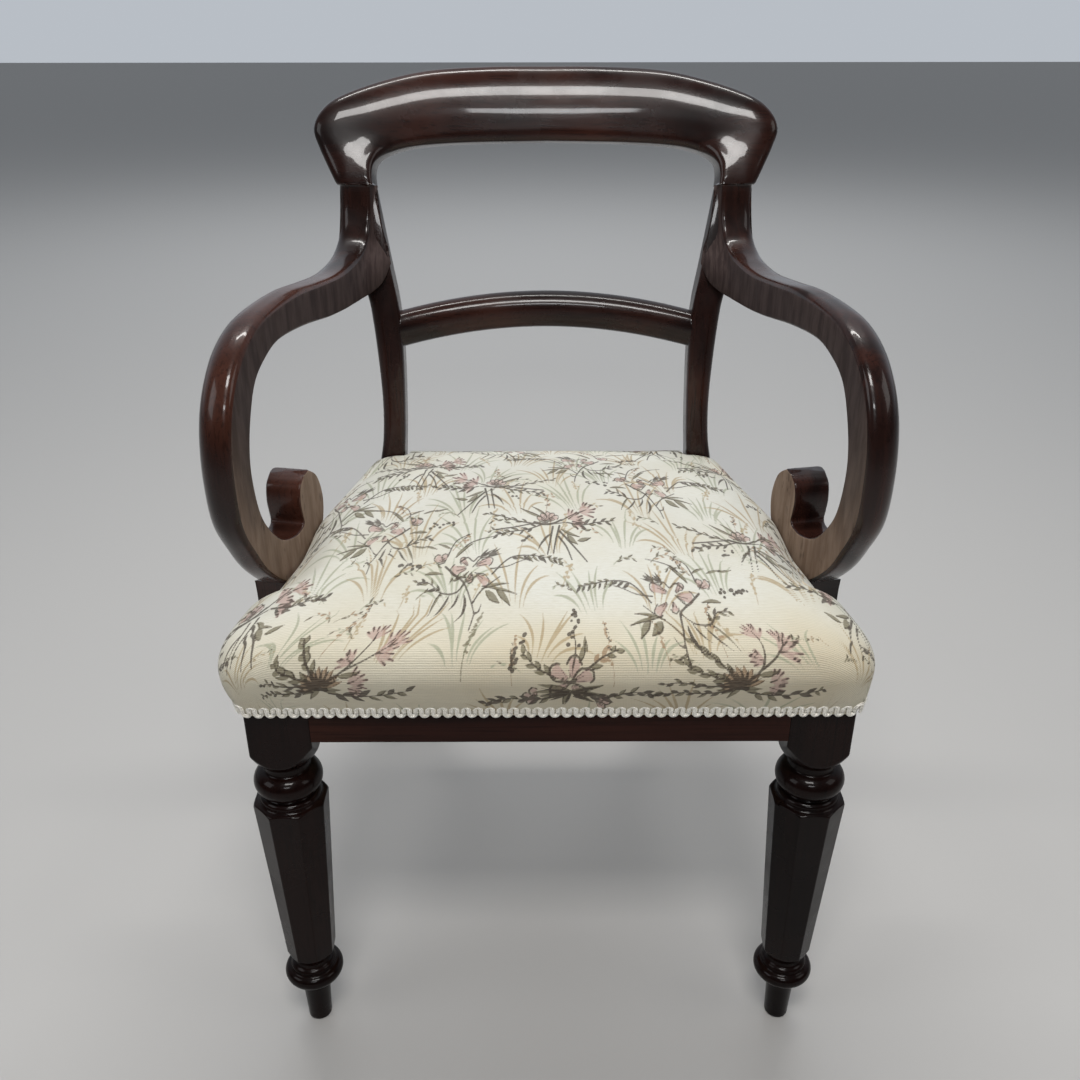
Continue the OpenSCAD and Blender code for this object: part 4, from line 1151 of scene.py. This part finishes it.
def draw_rose(w):
    """Two roses over hanging leaves, with an arching branch to the right and a cut stem."""
    for centre, degrees, n, wide in (((-4, 3), 190, 18, 6), ((0, 4), 20, 20, 5.5), ((2, -2), 325, 17, 5),
                                     ((-4, 4), 135, 12, 4), ((-1, -1), 255, 10, 4), ((-28, 8), 150, 12, 5),
                                     ((-28, 8), 95, 9, 3.5)):
        w.petal(centre, degrees, n, wide)
    w.line((-12, 9), (-6, 13), (0, 9), (5, 14), (9, 11), (15, 13), width=.8)
    w.line((-27, 4), (-18, -3), (-9, -9), (-4, -16), (0, -24), (4, -33), (6, -44), width=1.0)
    w.line((4, -33), (8, -32), (10, -27), width=.8)
    w.line((2, -26), (8, -18), (16, -12), (27, -5))
    w.line((-26, 14), (-22, 26), (-17, 33), (-7, 38))
    w.leaf((-18, 13), 55, 22, 1.8, -30)
    w.line((-10, 24), (-4, 29), (6, 33), (19, 36))
    w.leaves((-24, 22, 150, 14, 1.3, 20), (-50, 24, 172, 14, 1.2, -8), (-38, 22, 160, 15, 1.2, 12))
    w.plume((-22, 20), 55, 26, -15)
    w.fan((6, 13), 38, 16, 4, 16, .9)
    w.fan((14, 14), 30, 14, 4, 15, 1.0)
    arch = w.line((19, -3), (30, 8), (40, 14), (55, 15), (70, 13), (86, 10))
    w.line((17, 2), (33, 4), (46, 9), (58, 12), width=.6)
    w.spray(arch[4:], 9.5, 5.5, 52, 1.35, -1)
    w.spray(arch[8:], 7, 7, 30, 1.0, 1, "olive")
    w.leaves((10, -15, 18, 26, 1.3, -22), (16, -14, -5, 28, 1.2, -15), (14, -17, -38, 16, 3.2, 10),
             (24, -16, -35, 18, 2.6, -15))
    low = w.line((-7, -10), (-14, -18), (-26, -19), (-34, -15), (-42, -10), (-52, -10))
    w.spray(low[6:], 9, 4.5, 40, 1.25)
    w.leaves((-20, -19, 245, 22, 1.0, -35, "dark", False),
             (-12, -18, 262, 16, 1.0, -60, "dark", False), (-7, -19, 290, 22, 1.4, -75, "dark", False),
             (-28, -18, 232, 20, 1.1, 20))
    w.dots([(-50, 4), (-72, 6)], 4.0, 1.5)
    w.leaf((-46, -3), 12, 18, 1.6, -30)


def draw_spray(w):
    """A pale flower between fans of tufts and leaves, with several cut stems."""
    w.line((-62, -8), (-42, -5), (-22, -1), (-6, -2), (10, 0), width=.8)
    w.line((-22, 0), (-12, -2), (-2, -1), (6, 3), width=1.5)
    for degrees in (35, 62, 90, 120, 148):
        w.petal((-8, 0), degrees, 13, 3.2, .5)
    w.leaves((-14, 6, 158, 26, 1.7, -12), (-9, 8, 138, 20, 1.3, 12))
    w.tuft((14, 4), 38, 14)
    w.tuft((26, 12), 24, 17)
    w.tuft((18, 1), 350, 12)
    w.line((6, 2), (18, 9), (30, 14))
    right = w.line((12, 0), (28, -3), (44, 0), (62, 2))
    w.spray(right, 10, 5, 36, 1.5)
    left = w.line((-16, -3), (-30, -8), (-46, -10), (-62, -14))
    w.spray(left, 9, 4.8, 40, 1.35)
    w.spray(w.line((-24, -1), (-40, 2), (-58, 8), (-74, 12)), 8, 6, 30, 1.1, 0, "olive")
    w.dots([(-26, -14), (-34, -20)], 3.5, 1.4)
    for points in (((4, -4), (0, -18), (-3, -33)), ((-3, -5), (-6, -20), (-9, -34)),
                   ((3, -16), (10, -26), (15, -39)), ((4, -10), (16, -24), (30, -41))):
        w.line(*points, width=1.1)
    w.leaves((6, -8, 330, 20, 1.6, 15), (12, -14, 305, 14, 2.6, 25), (22, -20, 8, 14, 2.0, 10))
    w.plume((-10, 12), 80, 24, 10)
    w.leaf((-4, -12), 215, 24, 1.2, 40, "dark", False)


def draw_rosette(w):
    """A spiky rosette with fans of leaves to the left, tufts to the right and a tall plume."""
    for degrees in range(15, 200, 20):
        w.leaf((0, 0), degrees, 18, 2.6, 8, "stalk")
        w.leaf((0, 0), degrees + 9, 17, 1.0, 8, "dark", False)
    w.stroke("dark", [(-4, -2), (4, -3)], 2.4)
    for degrees in (205, 230, 330, 350):
        w.leaf((0, -2), degrees, 17, 1.8, 10)
    w.spray(w.line((-5, 3), (-20, 9), (-34, 14), (-44, 22)), 12, 5, 30, 1.9, 0, "olive")
    w.spray(w.line((-4, 8), (-14, 20), (-22, 30), (-30, 40)), 11, 5, 30, 1.8, 0, "olive")
    w.spray(w.line((-6, -6), (-26, -9), (-46, -8), (-66, -10)), 10, 5, 34, 1.5)
    w.spray(w.line((-8, 0), (-28, 0), (-46, 4), (-60, 2)), 9, 5.5, 30, 1.2)
    low = w.line((6, -8), (26, -12), (48, -10), (70, -4))
    w.spray(low, 13, 6, 40, 1.9)
    one = w.line((4, 4), (18, 16), (26, 30), (28, 40))
    two = w.line((16, 14), (32, 24), (44, 34))
    for start, degrees, size in ((one[-1], 100, 15), (two[-1], 62, 16), (two[-3], 8, 17),
                                 ((22, 4), 25, 14), ((22, -2), 335, 12), (one[4], 150, 12)):
        w.tuft(start, degrees, size)
    w.leaf((14, 10), 5, 16, 2.0, 20)
    w.plume((-6, 24), 86, 56, -12)
    w.plume((10, 30), 100, 34, 10, "tan")


def draw_open(w):
    """One open flower between dark leaves, with berries on a stalk and buds on both sides."""
    for degrees in (20, 75, 145, 215, 300):
        w.petal((0, 2), degrees, 22, 7.5, 1.0)
    for centre, degrees in (((-30, -16), 165), ((-30, -16), 110), ((-30, -16), 220), ((22, -22), 300),
                            ((22, -22), 350), ((22, -22), 30)):
        w.petal(centre, degrees, 13, 4.5, .8)
    w.stroke("dark", [(-2, 1), (3, 3)], 1.8)
    for degrees, n in ((178, 34), (160, 30), (200, 26), (345, 30), (8, 30), (318, 26), (240, 20)):
        w.leaf((0, -8), degrees, n, 2.4, 14)
        w.leaf((0, -10), degrees + 12, n * .9, 1.2, -10, "dark", False)
    w.spray(w.line((-10, -14), (-34, -20), (-56, -18), (-78, -24)), 12, 5.5, 36, 1.8)
    w.spray(w.line((12, -14), (34, -16), (56, -10), (76, -14)), 12, 5.5, 36, 1.8)
    w.spray(w.line((-14, 6), (-30, 14), (-44, 26)), 12, 5, 32, 1.8, 0, "olive")
    w.spray(w.line((14, 12), (30, 22), (46, 28)), 12, 5, 32, 1.8, 0, "stalk")
    w.line((2, 14), (6, 30), (4, 46))
    w.dots([(4, 38), (8, 72)], 6.5, 1.9)
    w.leaves((8, 18, 60, 18, 2.0, 20), (16, 26, 100, 15, 1.6, -20))
    w.plume((38, -4), 88, 60, 8)
    w.plume((-52, -2), 95, 44, -8)
    w.dots([(-54, 12), (-44, 44)], 4.5, 1.8)


def weave_pattern(cloth):
    w = Weaver(cloth.astype(float))
    r = np.random.default_rng(5)

    def height_at(y):
        """How much the drawings are stretched along the cloth, from the front drop to the top."""
        return float(np.interp(y, [-110, -40, 20, 120, 400], [1.0, 1.15, 1.75, 1.95, 2.1]))

    # pale grass first, in fans between the bouquets
    for gx in range(-6, 7):
        for gy in range(-2, 7):
            x = gx * 60 + (30 if gy % 2 else 0) + r.uniform(-9, 9)
            y = gy * 74 + r.uniform(-12, 12) - 30
            w.place(x, y, .93, height_at(y) * .93)
            w.grass((0, -20), 90 + r.uniform(-22, 22), r.uniform(46, 74),
                    "sage" if (gx + gy) % 2 else "tan", int(r.integers(6, 9)), r.uniform(40, 80))
    for gx in range(-5, 6):
        for gy in range(0, 5):
            x, y = gx * 74 + 22 + r.uniform(-14, 14), gy * 96 + 20 + r.uniform(-14, 14)
            w.place(x, y, .93, height_at(y) * .93)
            w.plume((0, 0), 90 + r.uniform(-30, 30), r.uniform(20, 30), r.uniform(-20, 20), "tan")
    for x, y, m, draw in ((-67, 56, 1, draw_rose), (103, 18, -1, draw_rose), (-155, 132, -1, draw_rose),
                          (7, 142, 1, draw_spray), (188, 120, 1, draw_spray), (-60, 236, -1, draw_spray),
                          (106, 236, 1, draw_rose), (-128, 312, 1, draw_spray), (34, 330, -1, draw_rose),
                          (-245, 20, 1, draw_spray), (262, 40, -1, draw_spray), (-205, 226, 1, draw_rose),
                          (200, 325, 1, draw_spray), (-40, 420, 1, draw_rose), (128, 420, -1, draw_spray),
                          (-190, 410, -1, draw_rose), (270, 210, 1, draw_rose), (-285, 130, -1, draw_rose)):
        w.place(x, y, .9 * m, .9 * height_at(y))
        draw(w)
    # small sprays fill the gaps
    for _ in range(105):
        x, y = r.uniform(-300, 300), r.uniform(-60, 430)
        w.place(x, y, .93 * r.choice([-1, 1]), .93 * height_at(y))
        stem = w.line((0, 0), (6, 5), (14, 7), (22, 5), width=.5,
                      channel="sage" if r.random() < .5 else "olive")
        w.spray(stem, 6, 4.5, 40, .9, 0, str(r.choice(["olive", "tan", "stalk", "sage"])))
    w.bold = 1.3
    for x in (-153, 131):
        w.place(x, -66, .88, 1.0)
        draw_rosette(w)
    w.place(16, -63, .76, 1.0)
    draw_open(w)
    w.place(-58, -40, .88, 1.0)
    w.plume((0, -20), 92, 62, -8, "olive")
    w.place(84, -40, .88, 1.0)
    w.plume((0, -10), 88, 50, 10)
    w.bold = 1.05
    for x, y, m in ((-330, -30, 1), (330, -20, -1), (-160, 505, 1), (0, 505, -1), (160, 505, 1)):
        w.place(x, y, .9 * m, 1.0)
        draw_rose(w)
    packed = {k: np.clip(.5 + f / 8, 0, 1) for k, f in w.fields.items()}
    ones = np.ones(len(cloth))
    a = np.stack([packed["dark"], packed["pink"], packed["olive"], ones], 1)
    b = np.stack([packed["stalk"], packed["sage"], packed["tan"], ones], 1)
    return a, b


def seat_cover():
    count = 560
    grid, cloth = seat_grid(count)
    coarse, _ = seat_grid(72)
    coarse = press_posts(blur(coarse, 2))
    grid = grid + enlarge(blur(simulate_cover(coarse), 2), count)
    grid = press_posts(swell(blur(grid, 10)))
    hold = np.ones(grid.shape[:2])
    hold[np.abs(grid[..., 1] - STILE_FACE) < .01] = 0
    hold[(np.abs(np.abs(grid[..., 0]) - STILE_SIDE) < .01) & (grid[..., 1] > 380)] = 0
    grid = blur(grid, 4, hold * .8)
    a, b = weave_pattern(cloth.reshape(-1, 2))
    obj = build("seat_cover_piece", grid.reshape(-1, 3), grid_faces(count + 1).tolist(), tapestry, "tapestry",
                ["seat_cover", "second_stuffing"], attributes={"motif_a": a, "motif_b": b},
                uv=cloth.reshape(-1, 2) / 1000)


# ---------------------------------------------------------------- gimp braid

def tube(path, radius, sides=6):
    """A closed tube along an open path."""
    t = np.gradient(path, axis=0)
    t /= np.linalg.norm(t, axis=1)[:, None] + 1e-9
    up = np.array([0, 0, 1.0])
    n = np.cross(t, up)
    bad = np.linalg.norm(n, axis=1) < .2
    n[bad] = np.cross(t[bad], [1.0, 0, 0])
    n /= np.linalg.norm(n, axis=1)[:, None]
    b = np.cross(n, t)
    a = np.arange(sides) * TAU / sides
    rings = path[:, None] + radius * (n[:, None] * np.cos(a)[None, :, None]
                                      + b[:, None] * np.sin(a)[None, :, None])
    return loft(rings)


def hem_path(part_points=400):
    """The lower edge of the cover, just outside its first level, beginning with the back."""
    parts = outline(LEVELS[0, 0] + .6, LEVELS[0, 1] + .6, LEVELS[0, 3])
    return np.concatenate([resample(parts[k], part_points + 1)[:-1] for k in (2, 3, 0, 1)])


LOOP_PITCH = 9.9
LOOP_HEIGHT, LOOP_MIDDLE = 5.1, 7.1      # half the loops' height, and their middle above the edge
CORDS = ((-1.25, .8, 2.0), (0, .85, 2.5), (1.25, .8, 2.0))     # shift, radius, distance from the cloth


def gimp():
    """Three cords in loops over a narrow strip, wherever no stile hides the hem."""
    loop = hem_path()
    loop = np.concatenate([loop, loop[:1]])
    flat = press_posts(np.concatenate([loop, np.full((len(loop), 1), 395.0)], 1))[:, :2]
    for _ in range(3):
        flat[1:-1] = (flat[:-2] + flat[1:-1] * 2 + flat[2:]) / 4
    run = lengths(flat)
    total = run[-1]
    pitch = total / round(total / LOOP_PITCH)

    def on_hem(s):
        s = np.mod(s, total)
        return np.stack([np.interp(s, run, flat[:, k]) for k in (0, 1)], -1)

    def lay(s, v, out):
        """Points at length s along the hem, v above its edge and out from the cloth."""
        t = on_hem(np.mod(s, total) + 1.5) - on_hem(np.mod(s, total) - 1.5)
        t /= np.linalg.norm(t, axis=-1)[..., None] + 1e-9
        n = np.stack([t[..., 1], -t[..., 0]], -1)
        lean = .55 * np.clip(v, 0, 20) / 10 * 3.4
        xy = on_hem(s) + n * (out + lean)[..., None]
        return np.concatenate([xy, (394.6 + v)[..., None]], -1)

    verts, faces = [], []

    def add(v, f):
        base = sum(len(x) for x in verts)
        verts.append(v)
        faces.extend(tuple(base + i for i in q) for q in f)

    s = np.arange(0, total, pitch / 20)
    q = on_hem(s)
    seen = ~((np.abs(q[:, 0]) > 160) & (q[:, 1] > 391))      # not behind a stile
    for i in np.flatnonzero(seen & ~np.roll(seen, 1)):
        j = i
        while seen[j % len(s)]:
            j += 1
        a, b = s[i], s[i] + (j - i) * pitch / 20
        t = np.arange(a, b, pitch / 24)
        phase = t / pitch * TAU
        middle = np.stack([t + .95 * np.sin(2 * phase), LOOP_MIDDLE + LOOP_HEIGHT * np.cos(phase)], 1)
        way = np.gradient(middle, axis=0)
        way /= np.linalg.norm(way, axis=1)[:, None]
        for shift, radius, out in CORDS:
            s1 = middle[:, 0] - way[:, 1] * shift
            v1 = middle[:, 1] + way[:, 0] * shift
            add(*tube(lay(s1, v1, out + .45 * np.sin(phase)), radius))
        # the ground strip behind the loops
        t = np.arange(a, b, 3.0)
        rings = np.stack([lay(t, np.full(len(t), v), np.full(len(t), out))
                          for v, out in ((5.2, .3), (5.2, .9), (9.0, .9), (9.0, .3))], 1)
        add(*loft(rings))
    build("gimp_braid_piece", np.concatenate(verts), faces, cord, "gimp_braid",
          ["gimp_front", "gimp_side_left", "gimp_side_right", "gimp_rear"])


# ---------------------------------------------------------------- carried-over CAD nodes

def finish_cad_nodes():
    by_name = {
        "front_seat_rail": wood_rail, "side_seat_rail": wood_side, "rear_seat_rail": beech_x,
        "arm_support_screws": iron, "arm_support": wood_z, "corner_block_screws": iron,
        "corner_block": beech_x, "crest_dowels": beech_z, "arm_screw_plug": wood_x,
        "arm_screw": iron, "webbing_long": web_y, "webbing_cross": web_x, "webbing_tacks": iron,
        "hessian": jute, "first_stuffing": scrim, "second_stuffing": felt, "edge_wadding": felt,
        "seat_cover": tapestry,
        "cover_tacks": iron, "gimp": cord, "front_leg": wood_leg_shaded, "rear_leg": wood_z,
        "crest_rail": wood_x, "mid_rail": wood_x, "arm": wood_arm}
    keys = sorted(by_name, key=len, reverse=True)
    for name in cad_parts:
        obj = bpy.data.objects.get(name)
        if obj is None or obj.type != "MESH":
            continue
        key = next(k for k in keys if name.startswith(k))
        if not obj.material_slots:
            obj.data.materials.append(by_name[key])
        for s in obj.material_slots:
            s.material = by_name[key]


add_camera()
add_lights()
add_floor()
rear_legs()
front_legs()
crest_rail()
mid_rail()
arms()
seat_cover()
gimp()
finish_cad_nodes()
